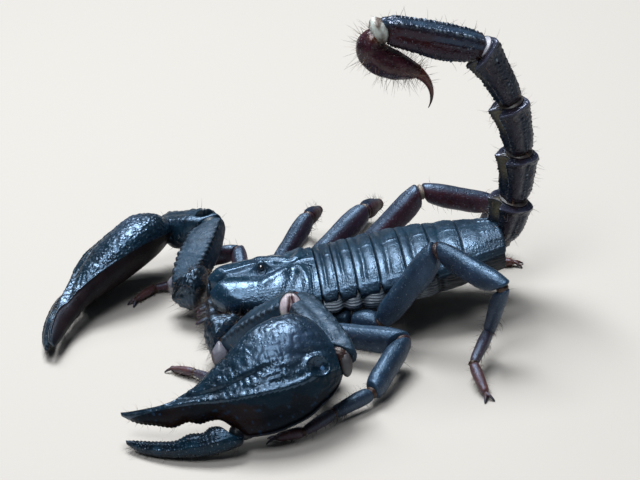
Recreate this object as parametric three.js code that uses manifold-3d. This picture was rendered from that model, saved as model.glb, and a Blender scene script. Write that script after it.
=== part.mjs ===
// A giant forest scorpion (genus Heterometrus), life size, in millimetres.
// Its head points along -Y, its left side along +X and its back along +Z. It stands on Z = 0.
// Until the last lines, Y = 0 is the seam between the carapace and the first back plate.
import * as THREE from "three";
import { mergeVertices } from "three/addons/utils/BufferGeometryUtils.js";
import Module from "manifold-3d";

const wasm = await Module();
wasm.setup();

// ---- driving dimensions ----

const GAP = 0.3;

// Carapace, the shield over the fore body.
const CARAPACE = {
  length: 16.8,
  notchDepth: 1.7,
  notchWidth: 0.26,
  frontHalfWidth: 5.7,
  rearHalfWidth: 8.2,
  cornerSetback: 3.2,
  edgeHeight: 7.9,
  frontDome: 2.3,
  rearDome: 3.1,
  frontDrop: 1.7,
  underside: 6.5,
};
const EYE = { radius: 0.62, aside: 0.75, fromRear: 8.1, height: 12.0 };

// Mesosoma, the seven-plated trunk.
const PLATE_LENGTHS = [2.6, 2.9, 3.6, 4.1, 4.4, 4.9, 6.8];
const PLATE_HALF_WIDTHS = [8.2, 8.3, 8.5, 8.7, 8.7, 8.3, 7.3, 4.9];
const PLATE_DOMES = [3.2, 3.3, 3.4, 3.5, 3.5, 3.3, 3.0, 2.3];
const PLATE_THICKNESS = 0.8;
const PLATE_EDGE_HEIGHT = 8.0;
const BACK_SLOPE = 0.09;
const BELLY = { height: 3.4, slope: 0.12 };

// Tail: pitches are degrees up from straight back, so that over 90 bends forward over the trunk.
// Leans are degrees towards the left.
const TAIL_ROOT = [-1.7, 29.5, 9.7];
const TAIL = [
  { length: 7.6, width: 6.0, depth: 5.4, pitch: 73, lean: 9 },
  { length: 8.6, width: 5.4, depth: 5.0, pitch: 83, lean: 8 },
  { length: 9.2, width: 5.0, depth: 4.8, pitch: 98, lean: 8 },
  { length: 10.6, width: 4.7, depth: 4.6, pitch: 113, lean: 7 },
  { length: 14.9, width: 4.4, depth: 4.7, pitch: 161, lean: 2 },
];
// The bulb's sections stand round a hinge at the lower edge of the tail's end, like pages round a spine.
// Each has the pitch of the bulb's course there, and how far along that course it is past the hinge.
const BULB_HINGE = { below: 1.9, past: 0.35 };
const BULB_LEAN = -8;
const BULB = [
  { pitch: 168, past: 0.55, width: 2.4, depth: 2.5 },
  { pitch: 200, past: 0.45, width: 3.0, depth: 2.9 },
  { pitch: 235, past: 0.45, width: 3.7, depth: 3.4 },
  { pitch: 270, past: 0.5, width: 4.3, depth: 4.1 },
  { pitch: 302, past: 1.1, width: 4.7, depth: 4.5 },
  { pitch: 316, past: 3.0, width: 4.7, depth: 4.5 },
  { pitch: 318, past: 5.0, width: 4.0, depth: 3.9 },
  { pitch: 318, past: 6.6, width: 3.0, depth: 2.9 },
  { pitch: 318, past: 7.7, width: 2.2, depth: 2.2 },
];
const STING = { length: 7.0, thickness: 2.1, pitch: 318, hook: 78 };

// Pincers. Headings are degrees from straight ahead towards the limb's own side, pitches are degrees up.
const PINCERS = {
  left: {
    root: [6.7, -15.6, 5.1],
    coxa: { length: 5.5, heading: 96, pitch: -3 },
    femur: { length: 14.0, heading: 154, pitch: 35 },
    patella: { length: 13.4, heading: 111, pitch: -10 },
    hand: { heading: -2, pitch: -12, roll: 46 },
    closing: 0,
  },
  right: {
    root: [-4.9, -17.2, 5.7],
    coxa: { length: 3.8, heading: 28, pitch: 0 },
    femur: { length: 12.3, heading: 119, pitch: 23 },
    patella: { length: 12.2, heading: 43, pitch: -16 },
    hand: { heading: -53, pitch: -8, roll: 42 },
    closing: 9,
  },
};
const PINCER_SIZES = {
  coxa: { width: 5.8, depth: 6.4 },
  femur: { width: 5.0, depth: 4.8 },
  patella: { width: 5.4, depth: 5.6 },
  neck: 3.8,
};
// The hand's outline seen from above: distances along it, and out from its axis towards the fixed finger.
const HAND = {
  length: 32.4,
  innerEdge: [
    [0, 1.2], [1.4, 4.6], [3, 6.7], [5.5, 7.8], [9.5, 7.4],
    [14, 5.2], [18.5, 2.6], [22, 0.9], [26, 0.5], [32.4, 1.6],
  ],
  outerEdge: [
    [0, -2.2], [1.7, -4.6], [4, -6.2], [8, -7.9], [12, -8.3],
    [15.6, -7.6], [18.6, -4.2], [23, -3.1], [32.4, 0.8],
  ],
  halfDepth: [[0, 1.7], [3.5, 3.3], [9, 3.9], [15, 3.2], [20, 2.2], [27, 1.6], [32.4, 0.5]],
  arch: [[0, 0], [5, 1.2], [12, 2.1], [18, 2.1], [25, 1.3], [32.4, -0.4]],
};
const FINGER = {
  start: 17.3,
  length: 15.4,
  slant: 0.75,
  innerEdge: [[0, -5.5], [1.2, -5.0], [8, -5.0], [10.7, -4.4], [15.4, -2.5]],
  outerEdge: [[0, -8.5], [3.5, -8.5], [8, -7.6], [11.7, -6.1], [15.4, -3.2]],
  halfDepth: [[0, 1.6], [4, 1.7], [10, 1.25], [15.4, 0.4]],
};

// Legs, from the front pair to the hind pair.
const LEG_SIZES = [
  { coxa: 3.3, femur: 8.2, patella: 8.0, tibia: 5.9, basitarsus: 4.5, tarsus: 4.0, width: 3.0 },
  { coxa: 3.8, femur: 11.0, patella: 9.7, tibia: 6.8, basitarsus: 5.5, tarsus: 4.5, width: 3.1 },
  { coxa: 4.2, femur: 13.2, patella: 11.1, tibia: 6.9, basitarsus: 5.7, tarsus: 4.2, width: 3.7 },
  { coxa: 4.7, femur: 14.8, patella: 12.3, tibia: 9.0, basitarsus: 7.2, tarsus: 5.5, width: 3.8 },
];
const HIPS = [
  [6.2, -10.2, 3.9],
  [7.0, -6.8, 4.1],
  [7.6, -2.8, 4.2],
  [8.4, 4.2, 4.4],
];
// Each leg's headings and pitches, from the coxa to the basitarsus. The tarsus has a heading alone,
// because its pitch is the one that brings its end down to the floor.
const LEG_POSES = {
  left: [
    { headings: [74, 122, 29, -40, -52, -42], pitches: [-11, 9, -15, -9, -4] },
    { headings: [104, 122, 36, -8, -17, 0], pitches: [-5, 6, -17, -6, -3] },
    { headings: [125, 146, 55, 30, 34, -12], pitches: [-3, 4, -13, -3, -4] },
    { headings: [152, 173, 131, -54, 59, 100], pitches: [0, 51, -13, -69, -13] },
  ],
  right: [
    { headings: [72, 90, 25, -58, 8, -40], pitches: [-8, 12, -16, -14, -5] },
    { headings: [99, 140, 105, 63, -64, -56], pitches: [-2, 34, -20, -46, -5] },
    { headings: [126, 151, 109, 74, -65, -50], pitches: [-1, 26, -21, -32, -5] },
    { headings: [138, 162, -173, 62, -82, -162], pitches: [0, 34, -16, -57, -7] },
  ],
};
const TARSUS_END_HEIGHT = 0.75;
const CLAW = { length: 1.9, thickness: 0.6, spread: 28 };

const COLOURS = {
  shell: 0x1b2836,
  belly: 0x2c3036,
  limb: 0x1e2a3a,
  foot: 0x33231f,
  tail: 0x181c24,
  sting: 0x2a1512,
  eye: 0x050506,
  jaw: 0x4a2f1c,
};

// ---- shape tools ----

const { degToRad, lerp, smoothstep } = THREE.MathUtils;
const UP = new THREE.Vector3(0, 0, 1);

function vector(coordinates) {
  return new THREE.Vector3(...coordinates);
}

function named(name, geometry, colour, roughness) {
  const material = new THREE.MeshStandardMaterial({ color: colour, roughness, metalness: 0 });
  const mesh = new THREE.Mesh(geometry, material);
  mesh.name = name;
  return mesh;
}

// A closed geometry from points and faces, turned so that its faces look out.
function closedGeometry(points, faces) {
  let volume = 0;
  for (let f = 0; f < faces.length; f += 3) {
    const [a, b, c] = [points[faces[f]], points[faces[f + 1]], points[faces[f + 2]]];
    volume += a.dot(b.clone().cross(c));
  }
  const geometry = new THREE.BufferGeometry().setFromPoints(points);
  geometry.setIndex(volume < 0 ? faces.slice().reverse() : faces);
  return geometry;
}

// Rings of points, all with one count, joined in order and closed by a fan at each end.
function ringsToGeometry(rings) {
  const sides = rings[0].length;
  const points = rings.flat();
  const faces = [];
  for (let r = 0; r + 1 < rings.length; r++) {
    for (let s = 0; s < sides; s++) {
      const a = r * sides + s;
      const b = r * sides + ((s + 1) % sides);
      faces.push(a, b, b + sides, a, b + sides, a + sides);
    }
  }
  for (const last of [false, true]) {
    const first = last ? (rings.length - 1) * sides : 0;
    const middle = new THREE.Vector3();
    rings[last ? rings.length - 1 : 0].forEach((point) => middle.addScaledVector(point, 1 / sides));
    points.push(middle);
    for (let s = 0; s < sides; s++) {
      const edge = [first + s, first + ((s + 1) % sides)];
      faces.push(points.length - 1, ...(last ? edge : edge.reverse()));
    }
  }
  return closedGeometry(points, faces);
}

// A curved plate: place(s, t, face) gives a point for s and t from 0 to 1, on face 0 (under) or 1 (over).
function plateGeometry(columns, rows, place) {
  const points = [];
  const faces = [];
  const index = (i, j, face) => (face * (rows + 1) + j) * (columns + 1) + i;
  for (const face of [0, 1])
    for (let j = 0; j <= rows; j++)
      for (let i = 0; i <= columns; i++) points.push(place(i / columns, j / rows, face));
  const quad = (a, b, c, d) => faces.push(a, b, c, a, c, d);
  for (let j = 0; j < rows; j++) {
    for (let i = 0; i < columns; i++) {
      quad(index(i, j, 1), index(i + 1, j, 1), index(i + 1, j + 1, 1), index(i, j + 1, 1));
      quad(index(i, j + 1, 0), index(i + 1, j + 1, 0), index(i + 1, j, 0), index(i, j, 0));
    }
    quad(index(0, j, 0), index(0, j, 1), index(0, j + 1, 1), index(0, j + 1, 0));
    quad(index(columns, j + 1, 0), index(columns, j + 1, 1), index(columns, j, 1), index(columns, j, 0));
  }
  for (let i = 0; i < columns; i++) {
    quad(index(i + 1, 0, 0), index(i + 1, 0, 1), index(i, 0, 1), index(i, 0, 0));
    quad(index(i, rows, 0), index(i, rows, 1), index(i + 1, rows, 1), index(i + 1, rows, 0));
  }
  return closedGeometry(points, faces);
}

function toManifold(geometry) {
  const bare = geometry.clone();
  bare.deleteAttribute("normal");
  bare.deleteAttribute("uv");
  const merged = mergeVertices(bare, 1e-4);
  return new wasm.Manifold(
    new wasm.Mesh({
      numProp: 3,
      vertProperties: merged.attributes.position.array,
      triVerts: new Uint32Array(merged.index.array),
    }),
  );
}

function fromManifold(solid) {
  const mesh = solid.getMesh();
  const geometry = new THREE.BufferGeometry();
  geometry.setAttribute("position", new THREE.BufferAttribute(mesh.vertProperties, 3));
  geometry.setIndex(new THREE.BufferAttribute(mesh.triVerts, 1));
  return geometry;
}

function joined(...geometries) {
  return fromManifold(geometries.map(toManifold).reduce((whole, piece) => whole.add(piece)));
}

function cut(geometry, ...tools) {
  const solids = tools.map(toManifold);
  return fromManifold(solids.reduce((whole, tool) => whole.subtract(tool), toManifold(geometry)));
}

// Whatever rests on the floor gets small flats at floor level.
function cutAtFloor(geometry) {
  const floor = new THREE.BoxGeometry(200, 200, 20);
  floor.translate(0, 0, -10);
  return cut(geometry, floor);
}

// A value read off a list of [place, value] pairs, with straight lines between them.
function along(pairs, place) {
  const next = pairs.findIndex(([at]) => at >= place);
  if (next <= 0) return pairs[next < 0 ? pairs.length - 1 : 0][1];
  const [[a, from], [b, to]] = [pairs[next - 1], pairs[next]];
  return lerp(from, to, (place - a) / (b - a));
}

// A round outline of unit half width and half depth; a power over 2 makes it squarer.
function roundOutline(sides, power = 2) {
  return Array.from({ length: sides }, (_, s) => {
    const angle = (2 * Math.PI * (s + 0.5)) / sides;
    const [x, y] = [Math.cos(angle), Math.sin(angle)];
    const reach = (Math.abs(x) ** power + Math.abs(y) ** power) ** (-1 / power);
    return [x * reach, y * reach];
  });
}

// The direction of a limb piece on one side of the body, from its heading and pitch.
function aim(side, heading, pitch) {
  const [h, p] = [degToRad(heading), degToRad(pitch)];
  return new THREE.Vector3(side * Math.sin(h) * Math.cos(p), -Math.cos(h) * Math.cos(p), Math.sin(p));
}

// The direction of a tail piece.
function tailAim(pitch, lean) {
  const [p, l] = [degToRad(pitch), degToRad(lean)];
  return new THREE.Vector3(Math.sin(l), Math.cos(p) * Math.cos(l), Math.sin(p) * Math.cos(l));
}

// The part of a vector that is square to a direction, at unit length.
function squareTo(direction, wanted) {
  return wanted.clone().addScaledVector(direction, -wanted.dot(direction)).normalize();
}

// One stretch of a limb from a start point. Its stations give a width and a depth at places from 0 to 1.
// Each end is cut along the plane that halves the bend there, half a gap short of the joint.
function segment({ start, direction, length, top, outline, stations, before, after }) {
  const upward = squareTo(direction, top ?? UP);
  const across = direction.clone().cross(upward);
  const planes = [before, after].map((other) => (other ?? direction).clone().add(direction).normalize());
  const rings = stations.map(([place, width, depth, lift = 0]) =>
    outline.map(([x, y]) => {
      const offset = across
        .clone()
        .multiplyScalar((x * width) / 2)
        .addScaledVector(upward, (y * depth) / 2 + lift);
      const slides = planes.map((plane, end) => {
        const room = (end === 0 ? GAP : -GAP) / 2;
        return (room - offset.dot(plane)) / direction.dot(plane);
      });
      const reach = place * length + slides[0] * (1 - place) ** 3 + slides[1] * place ** 3;
      return start.clone().add(offset).addScaledVector(direction, reach);
    }),
  );
  return ringsToGeometry(rings);
}

// ---- trunk ----

const PLATE_SEAMS = PLATE_LENGTHS.reduce((seams, length) => [...seams, seams.at(-1) + length], [0]);
const atSeams = (values, y) => along(PLATE_SEAMS.map((seam, i) => [seam, values[i]]), y);
const halfWidthAt = (y) => atSeams(PLATE_HALF_WIDTHS, y);
const edgeHeightAt = (y) => PLATE_EDGE_HEIGHT + BACK_SLOPE * y;
const bellyHeightAt = (y) => BELLY.height + BELLY.slope * y;

function backHeight(s, y) {
  return edgeHeightAt(y) + atSeams(PLATE_DOMES, y) * Math.max(0, 1 - Math.abs(s) ** 2.3) ** 0.55;
}

function tergite(number, ...hollows) {
  const [front, rear] = [PLATE_SEAMS[number - 1] + GAP / 2, PLATE_SEAMS[number] - GAP / 2];
  const rows = number === 7 ? 3 : 2;
  const plate = plateGeometry(10, rows, (u, t, face) => {
    const s = -Math.cos(Math.PI * u);
    const y = lerp(front, rear, t);
    const swell = face * 0.12 * Math.sin(Math.PI * t);
    return new THREE.Vector3(s * halfWidthAt(y), y, backHeight(s, y) + swell - (1 - face) * PLATE_THICKNESS);
  });
  return cut(plate, ...hollows);
}

// Everything of the trunk under its back plates: the side membranes and the belly.
function trunk(...hollows) {
  const stations = 9;
  const rear = PLATE_SEAMS.at(-1) - GAP;
  const rings = Array.from({ length: stations }, (_, r) => {
    const y = lerp(GAP / 2, rear, r / (stations - 1));
    const half = halfWidthAt(y);
    const tuck = 1 - smoothstep(y, 2, 9);
    const [edge, belly] = [edgeHeightAt(y), bellyHeightAt(y)];
    const ceiling = [-0.94, -0.78, -0.5, -0.18, 0.18, 0.5, 0.78, 0.94].map((s) => [
      s * half,
      backHeight(s, y) - PLATE_THICKNESS - GAP,
    ]);
    const flank = [
      [1.0 * half, edge - PLATE_THICKNESS - GAP - 0.3],
      [1.01 * half, lerp(edge, belly, 0.45)],
      [lerp(0.94, 0.74, tuck) * half, lerp(edge, belly, 0.78)],
      [lerp(0.74, 0.52, tuck) * half, belly + 0.25 + 0.9 * tuck],
      [0.3 * half, belly + 0.9 * tuck],
    ];
    const mirrored = flank.map(([x, z]) => [-x, z]).reverse();
    return [...ceiling, ...flank, ...mirrored].map(([x, z]) => new THREE.Vector3(x, y, z));
  });
  return cut(ringsToGeometry(rings), ...hollows);
}

// One of the two combs under the trunk, its teeth joined to its bar.
function pecten(side) {
  const teeth = 9;
  const pitch = 0.75;
  const shape = new THREE.Shape();
  shape.moveTo(0, 0.9);
  for (let tooth = 0; tooth < teeth; tooth++) {
    const x = tooth * pitch;
    shape.lineTo(x, -0.7);
    shape.lineTo(x + 0.42 * pitch, -0.7);
    shape.lineTo(x + 0.5 * pitch, 0);
    shape.lineTo(x + 0.9 * pitch, 0);
  }
  shape.lineTo(teeth * pitch, 0.6);
  const geometry = new THREE.ExtrudeGeometry(shape, { depth: 0.6, bevelEnabled: false });
  if (side < 0) geometry.scale(-1, 1, 1);
  const comb = closedGeometry(pointsOf(geometry), facesOf(geometry));
  comb.rotateZ(side * degToRad(20));
  comb.translate(side * 0.9, 2.4, 2.3);
  return comb;
}

function pointsOf(geometry) {
  const position = geometry.getAttribute("position");
  const point = (_, i) => new THREE.Vector3().fromBufferAttribute(position, i);
  return Array.from({ length: position.count }, point);
}

function facesOf(geometry) {
  return geometry.index ? [...geometry.index.array] : pointsOf(geometry).map((_, i) => i);
}

// ---- fore body ----

function carapacePoint(u, t, face) {
  const s = -Math.cos(Math.PI * u);
  const notch = CARAPACE.notchDepth * Math.exp(-((s / CARAPACE.notchWidth) ** 2));
  const front = -CARAPACE.length + notch + CARAPACE.cornerSetback * Math.abs(s) ** 4;
  const y = lerp(front, -GAP / 2, t);
  const half = lerp(CARAPACE.frontHalfWidth, CARAPACE.rearHalfWidth, t ** 0.8);
  if (face === 0) return new THREE.Vector3(s * half, y, CARAPACE.underside);
  const round = Math.max(0, 1 - Math.abs(s) ** 2.6) ** 0.5;
  const dome = lerp(CARAPACE.frontDome, CARAPACE.rearDome, t) * round;
  const drop = CARAPACE.frontDrop * (1 - 0.4 * Math.abs(s)) * Math.max(0, 1 - t / 0.22) ** 2;
  const furrow = 0.45 * Math.exp(-((s / 0.12) ** 2));
  return new THREE.Vector3(s * half, y, CARAPACE.edgeHeight + dome - drop - furrow);
}

function eyeCentre(side) {
  return new THREE.Vector3(side * EYE.aside, -EYE.fromRear, EYE.height);
}

function ball(centre, radius, stretch = [1, 1, 1]) {
  const geometry = new THREE.SphereGeometry(radius, 8, 6);
  geometry.rotateX(Math.PI / 2);
  geometry.scale(...stretch);
  geometry.translate(...centre.toArray());
  return geometry;
}

function carapace() {
  const shield = plateGeometry(12, 6, carapacePoint);
  const hill = ball(new THREE.Vector3(0, -EYE.fromRear, EYE.height - 0.75), 1.25, [1, 1.7, 1]);
  const sockets = [-1, 1].map((side) => ball(eyeCentre(side), EYE.radius + GAP));
  return cut(joined(shield, hill), ...sockets);
}

// The two ends of a leg's coxa: beside the breastplate, and at the hip.
function coxaEnds(side, leg) {
  const [x, y, z] = HIPS[leg];
  return [new THREE.Vector3(side * 1.6, -7.5 + 1.5 * leg, 3.6), new THREE.Vector3(side * x, y, z)];
}

// A leg's coxa; room makes it larger all round, as a cutting tool.
function legCoxa(side, leg, room = 0) {
  const [inner, hip] = coxaEnds(side, leg);
  const out = hip.clone().sub(inner);
  const pose = LEG_POSES[side > 0 ? "left" : "right"][leg];
  return segment({
    start: inner,
    direction: out.clone().normalize(),
    length: out.length() + 2 * room,
    outline: roundOutline(6, 2.4),
    stations: [[0, 1.6, 1.6], [0.7, 2.6, 2.4], [1, 2.2, 2.2]].map(([place, width, depth]) => [
      place,
      width + 2 * room,
      depth + 2 * room,
    ]),
    after: aim(side, pose.headings[0], pose.pitches[0]),
  });
}

function pincerCoxaRoot(side) {
  return new THREE.Vector3(side * 2.9, -10.5, 4.5);
}

function pincerCoxa(side) {
  const pose = PINCERS[side > 0 ? "left" : "right"];
  const inner = pincerCoxaRoot(side);
  const out = vector(pose.root).sub(inner);
  return segment({
    start: inner,
    direction: out.clone().normalize(),
    length: out.length(),
    outline: roundOutline(6, 2.4),
    stations: [[0, 2.4, 1.6], [0.6, 2.8, 2.6], [1, 2.8, 3.0]],
    after: aim(side, pose.coxa.heading, pose.coxa.pitch),
  });
}

// The underside of the fore body: a breastplate with the coxae of all limbs running out from it.
function foreUnderside() {
  const stations = [
    [-13.6, 3.6, 4.3],
    [-8, 5.2, 3.6],
    [-3.5, 6.1, 3.5],
    [-0.15, 6.7, 3.7],
  ];
  const top = CARAPACE.underside - GAP;
  const slab = ringsToGeometry(
    stations.map(([y, half, floor]) =>
      [
        [-half + 0.4, top],
        [half - 0.4, top],
        [half, lerp(top, floor, 0.4)],
        [half * 0.75, floor + 0.2],
        [-half * 0.75, floor + 0.2],
        [-half, lerp(top, floor, 0.4)],
      ].map(([x, z]) => new THREE.Vector3(x, y, z)),
    ),
  );
  const coxae = [-1, 1].flatMap((side) => [pincerCoxa(side), ...HIPS.map((_, leg) => legCoxa(side, leg))]);
  const carapaceRoom = new THREE.BoxGeometry(30, 40, 10);
  carapaceRoom.translate(0, 0, top + 5);
  return cut(joined(slab, ...coxae), carapaceRoom);
}

function chelicera(side) {
  const start = new THREE.Vector3(side * 1.5, -14.1, 5.2);
  const palm = [[0, 2.2, 1.5], [0.35, 2.4, 1.7], [0.6, 2.4, 1.8]];
  const stations = [...palm, [0.8, 1.3, 1.3, 0.1], [1, 0.5, 0.5, -0.3]];
  const direction = aim(side, -2, -9);
  const body = segment({ start, direction, length: 5.6, outline: roundOutline(10, 2.4), stations });
  const hinge = start.clone().addScaledVector(direction, 3.2).add(new THREE.Vector3(side * 0.85, 0, -0.35));
  const finger = segment({
    start: hinge,
    direction: aim(side, 4, -14),
    length: 2.6,
    outline: roundOutline(6),
    stations: [[0, 0.9, 0.9], [0.5, 0.9, 0.8], [1, 0.5, 0.5]],
  });
  return joined(body, finger);
}

// ---- legs ----

const LEG_ENDS = [[0, 0.74], [0.15, 0.88], [0.82, 1.0], [1, 0.84]];

function scaled(stations, width, depth) {
  return stations.map(([place, size]) => [place, size * width, size * depth]);
}

// The joints of one leg, from its hip to the end of its tarsus, and the direction of each stretch.
function legChain(sideName, leg) {
  const side = sideName === "left" ? 1 : -1;
  const sizes = LEG_SIZES[leg];
  const { headings, pitches } = LEG_POSES[sideName][leg];
  const lengths = [sizes.coxa, sizes.femur, sizes.patella, sizes.tibia, sizes.basitarsus, sizes.tarsus];
  const joints = [new THREE.Vector3(side * HIPS[leg][0], HIPS[leg][1], HIPS[leg][2])];
  const directions = lengths.map((length, i) => {
    const drop = TARSUS_END_HEIGHT - joints[i].z;
    const pitch = pitches[i] ?? THREE.MathUtils.radToDeg(Math.asin(drop / length));
    const direction = aim(side, headings[i], pitch);
    joints.push(joints[i].clone().addScaledVector(direction, length));
    return direction;
  });
  return { joints, directions, lengths };
}

function claw(root, direction, turn) {
  const level = squareTo(UP, direction).applyAxisAngle(UP, degToRad(turn));
  const radii = [CLAW.thickness / 2, CLAW.thickness / 2, 0.3];
  const rings = [0, 0.55, 1].map((t, i) => {
    const centre = root.clone().addScaledVector(level, CLAW.length * t - 0.35);
    centre.z = lerp(root.z, 0.1, t ** 1.2);
    const outline = roundOutline(4);
    const across = level.clone().cross(UP);
    return outline.map(([x, y]) =>
      centre
        .clone()
        .addScaledVector(across, x * radii[i])
        .addScaledVector(UP, y * radii[i] * 1.1),
    );
  });
  return ringsToGeometry(rings);
}

function legPieces(sideName, leg) {
  const { joints, directions, lengths } = legChain(sideName, leg);
  const [inner, hip] = coxaEnds(sideName === "left" ? 1 : -1, leg);
  const { width } = LEG_SIZES[leg];
  const name = `leg_${leg + 1}_${sideName}`;
  const outline = roundOutline(8, 2.2);
  const trochanter = segment({
    start: joints[0],
    direction: directions[0],
    length: lengths[0] + GAP,
    outline: roundOutline(6, 2.2),
    stations: scaled([[0, 0.62], [0.5, 0.88], [1, 0.7]], width, width),
    before: hip.sub(inner).normalize(),
    after: directions[1],
  });
  const femurBody = segment({
    start: joints[1].clone().addScaledVector(directions[1], -0.9),
    direction: directions[1],
    length: lengths[1] + 0.9,
    outline,
    stations: scaled(LEG_ENDS, 0.86 * width, 1.04 * width),
    after: directions[2],
  });
  const femur = joined(trochanter, femurBody);
  const patella = segment({
    start: joints[2],
    direction: directions[2],
    length: lengths[2],
    outline,
    stations: scaled(LEG_ENDS, 0.84 * width, width),
    before: directions[1],
    after: directions[3],
  });
  const slender = roundOutline(5);
  const taper = [[0, 1], [1, 0.78]];
  const tibia = segment({
    start: joints[3],
    direction: directions[3],
    length: lengths[3] + 0.35,
    outline: slender,
    stations: scaled(taper, 0.56 * width, 0.6 * width),
    before: directions[2],
  });
  const rest = [4, 5].map((i) => {
    const size = (i === 4 ? 0.46 : 0.42) * width;
    return segment({
      start: joints[i].clone().addScaledVector(directions[i], -0.45),
      direction: directions[i],
      length: lengths[i] + 0.75,
      outline: slender,
      stations: scaled(taper, size, size),
    });
  });
  const claws = [-1, 1].map((turn) => claw(joints[6], directions[5], turn * CLAW.spread));
  const foot = cutAtFloor(joined(tibia, ...rest, ...claws));
  return [
    named(`${name}_femur`, femur, COLOURS.limb, 0.5),
    named(`${name}_patella`, patella, COLOURS.limb, 0.5),
    named(`${name}_foot`, foot, COLOURS.foot, 0.5),
  ];
}

// ---- pincers ----

// One section of the hand or its finger, in its own directions.
function handRing(frame, place, inner, outer, halfDepth, slant, outline) {
  const [middle, half] = [(inner + outer) / 2, (inner - outer) / 2];
  return outline.map(([x, y]) =>
    frame.root
      .clone()
      .addScaledVector(frame.along, place + slant * x * half)
      .addScaledVector(frame.inward, middle + x * half)
      .addScaledVector(frame.dorsal, along(HAND.arch, place) + y * halfDepth),
  );
}

function handFrame(side, root, { heading, pitch, roll }) {
  const forward = aim(side, heading, pitch);
  const outward = aim(side, heading + 90, 0);
  const lift = squareTo(forward, UP);
  const r = degToRad(roll);
  return {
    root,
    along: forward,
    inward: outward.clone().multiplyScalar(-Math.cos(r)).addScaledVector(lift, Math.sin(r)),
    dorsal: outward.clone().multiplyScalar(Math.sin(r)).addScaledVector(lift, Math.cos(r)),
  };
}

function hand(frame, room = 0) {
  const stations = [0.35, 1.5, 3.1, 5.5, 9, 12.5, 15.6, 17.2, 18.6, 21, 24, 27.5, 30.5, 32.4];
  const outline = roundOutline(12, 2.15);
  const rings = stations.map((u) => {
    const [inner, outer] = [along(HAND.innerEdge, u) + room, along(HAND.outerEdge, u) - room];
    return handRing(frame, u - room, inner, outer, along(HAND.halfDepth, u) + room, 0, outline);
  });
  return ringsToGeometry(rings);
}

function movableFinger(frame, closing) {
  const steps = 8;
  const outline = roundOutline(8, 2.15);
  const rings = Array.from({ length: steps + 1 }, (_, step) => {
    const u = (FINGER.length * step) / steps;
    const slant = FINGER.slant * Math.max(0, 1 - u / 4);
    const shift = u * Math.tan(degToRad(closing));
    const [inner, outer] = [along(FINGER.innerEdge, u) + shift, along(FINGER.outerEdge, u) + shift];
    return handRing(frame, FINGER.start + u, inner, outer, along(FINGER.halfDepth, u), slant, outline);
  });
  return ringsToGeometry(rings);
}

function pincerPieces(sideName) {
  const side = sideName === "left" ? 1 : -1;
  const pose = PINCERS[sideName];
  const { coxa, femur, patella, neck } = PINCER_SIZES;
  const outline = roundOutline(10, 2.5);
  const parts = [pose.coxa, pose.femur, pose.patella, pose.hand];
  const directions = parts.map(({ heading, pitch }) => aim(side, heading, pitch));
  const joints = [vector(pose.root)];
  for (const i of [0, 1, 2]) joints.push(joints[i].clone().addScaledVector(directions[i], parts[i].length));
  const stretch = (i, stations) =>
    segment({
      start: joints[i],
      direction: directions[i],
      length: parts[i].length,
      outline,
      stations,
      before: i > 0 ? directions[i - 1] : joints[0].clone().sub(pincerCoxaRoot(side)).normalize(),
      after: directions[i + 1],
    });
  const trochanter = stretch(0, [
    [0, 0.7 * coxa.width, 0.6 * coxa.depth],
    [0.25, 0.95 * coxa.width, 0.92 * coxa.depth],
    [0.65, coxa.width, coxa.depth],
    [1, 0.72 * femur.width, 0.8 * femur.depth],
  ]);
  const femurSolid = stretch(1, [
    [0, 0.7 * femur.width, 0.75 * femur.depth],
    [0.2, 0.95 * femur.width, 0.95 * femur.depth],
    [0.8, femur.width, femur.depth],
    [1, 0.7 * femur.width, 0.7 * femur.depth],
  ]);
  const patellaSolid = stretch(2, [
    [0, 0.62 * patella.width, 0.62 * patella.depth],
    [0.22, 0.96 * patella.width, 0.94 * patella.depth],
    [0.7, patella.width, patella.depth],
    [1, neck, neck],
  ]);
  const frame = handFrame(side, joints[3], pose.hand);
  const prefix = `pincer_${sideName}`;
  return [
    named(`${prefix}_trochanter`, trochanter, COLOURS.limb, 0.5),
    named(`${prefix}_femur`, femurSolid, COLOURS.limb, 0.5),
    named(`${prefix}_patella`, cut(patellaSolid, hand(frame, GAP)), COLOURS.limb, 0.45),
    named(`${prefix}_hand`, cutAtFloor(hand(frame)), COLOURS.limb, 0.4),
    named(`${prefix}_movable_finger`, cutAtFloor(movableFinger(frame, pose.closing)), COLOURS.limb, 0.4),
  ];
}

// ---- tail ----

// Half of a tail section, from the middle of the back to the middle of the belly, with a corner at each keel.
const TAIL_KEELS = [[0.22, 0.82], [0.6, 1], [0.98, 0.62], [0.97, -0.05], [0.8, -0.7], [0.32, -1]];
const TAIL_OUTLINE = [...TAIL_KEELS, ...TAIL_KEELS.map(([x, y]) => [-x, y]).reverse()];
const TAIL_TAPER = [[0, 0.7], [0.16, 0.86], [0.72, 0.96], [0.94, 1.04], [1, 0.82]];

function tailChain() {
  const directions = TAIL.map(({ pitch, lean }) => tailAim(pitch, lean));
  const backs = TAIL.map(({ pitch, lean }, i) => squareTo(directions[i], tailAim(pitch + 90, lean)));
  const joints = [vector(TAIL_ROOT)];
  TAIL.forEach(({ length }, i) => joints.push(joints[i].clone().addScaledVector(directions[i], length)));
  return { directions, backs, joints };
}

function tailRing(number, room = 0) {
  const { directions, backs, joints } = tailChain();
  const { length, width, depth } = TAIL[number - 1];
  const i = number - 1;
  return segment({
    start: joints[i].clone().addScaledVector(directions[i], -room),
    direction: directions[i],
    length: length + room,
    top: backs[i],
    outline: TAIL_OUTLINE,
    stations: scaled(TAIL_TAPER, width + 2 * room, depth + 2 * room),
    before: directions[i - 1],
    after: directions[i + 1],
  });
}

// The hinge of the venom bulb, at the lower edge of the tail's end.
function telsonHinge() {
  const { directions, backs, joints } = tailChain();
  const hinge = joints[5].clone().addScaledVector(backs[4], BULB_HINGE.below);
  return hinge.addScaledVector(directions[4], BULB_HINGE.past);
}

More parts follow.
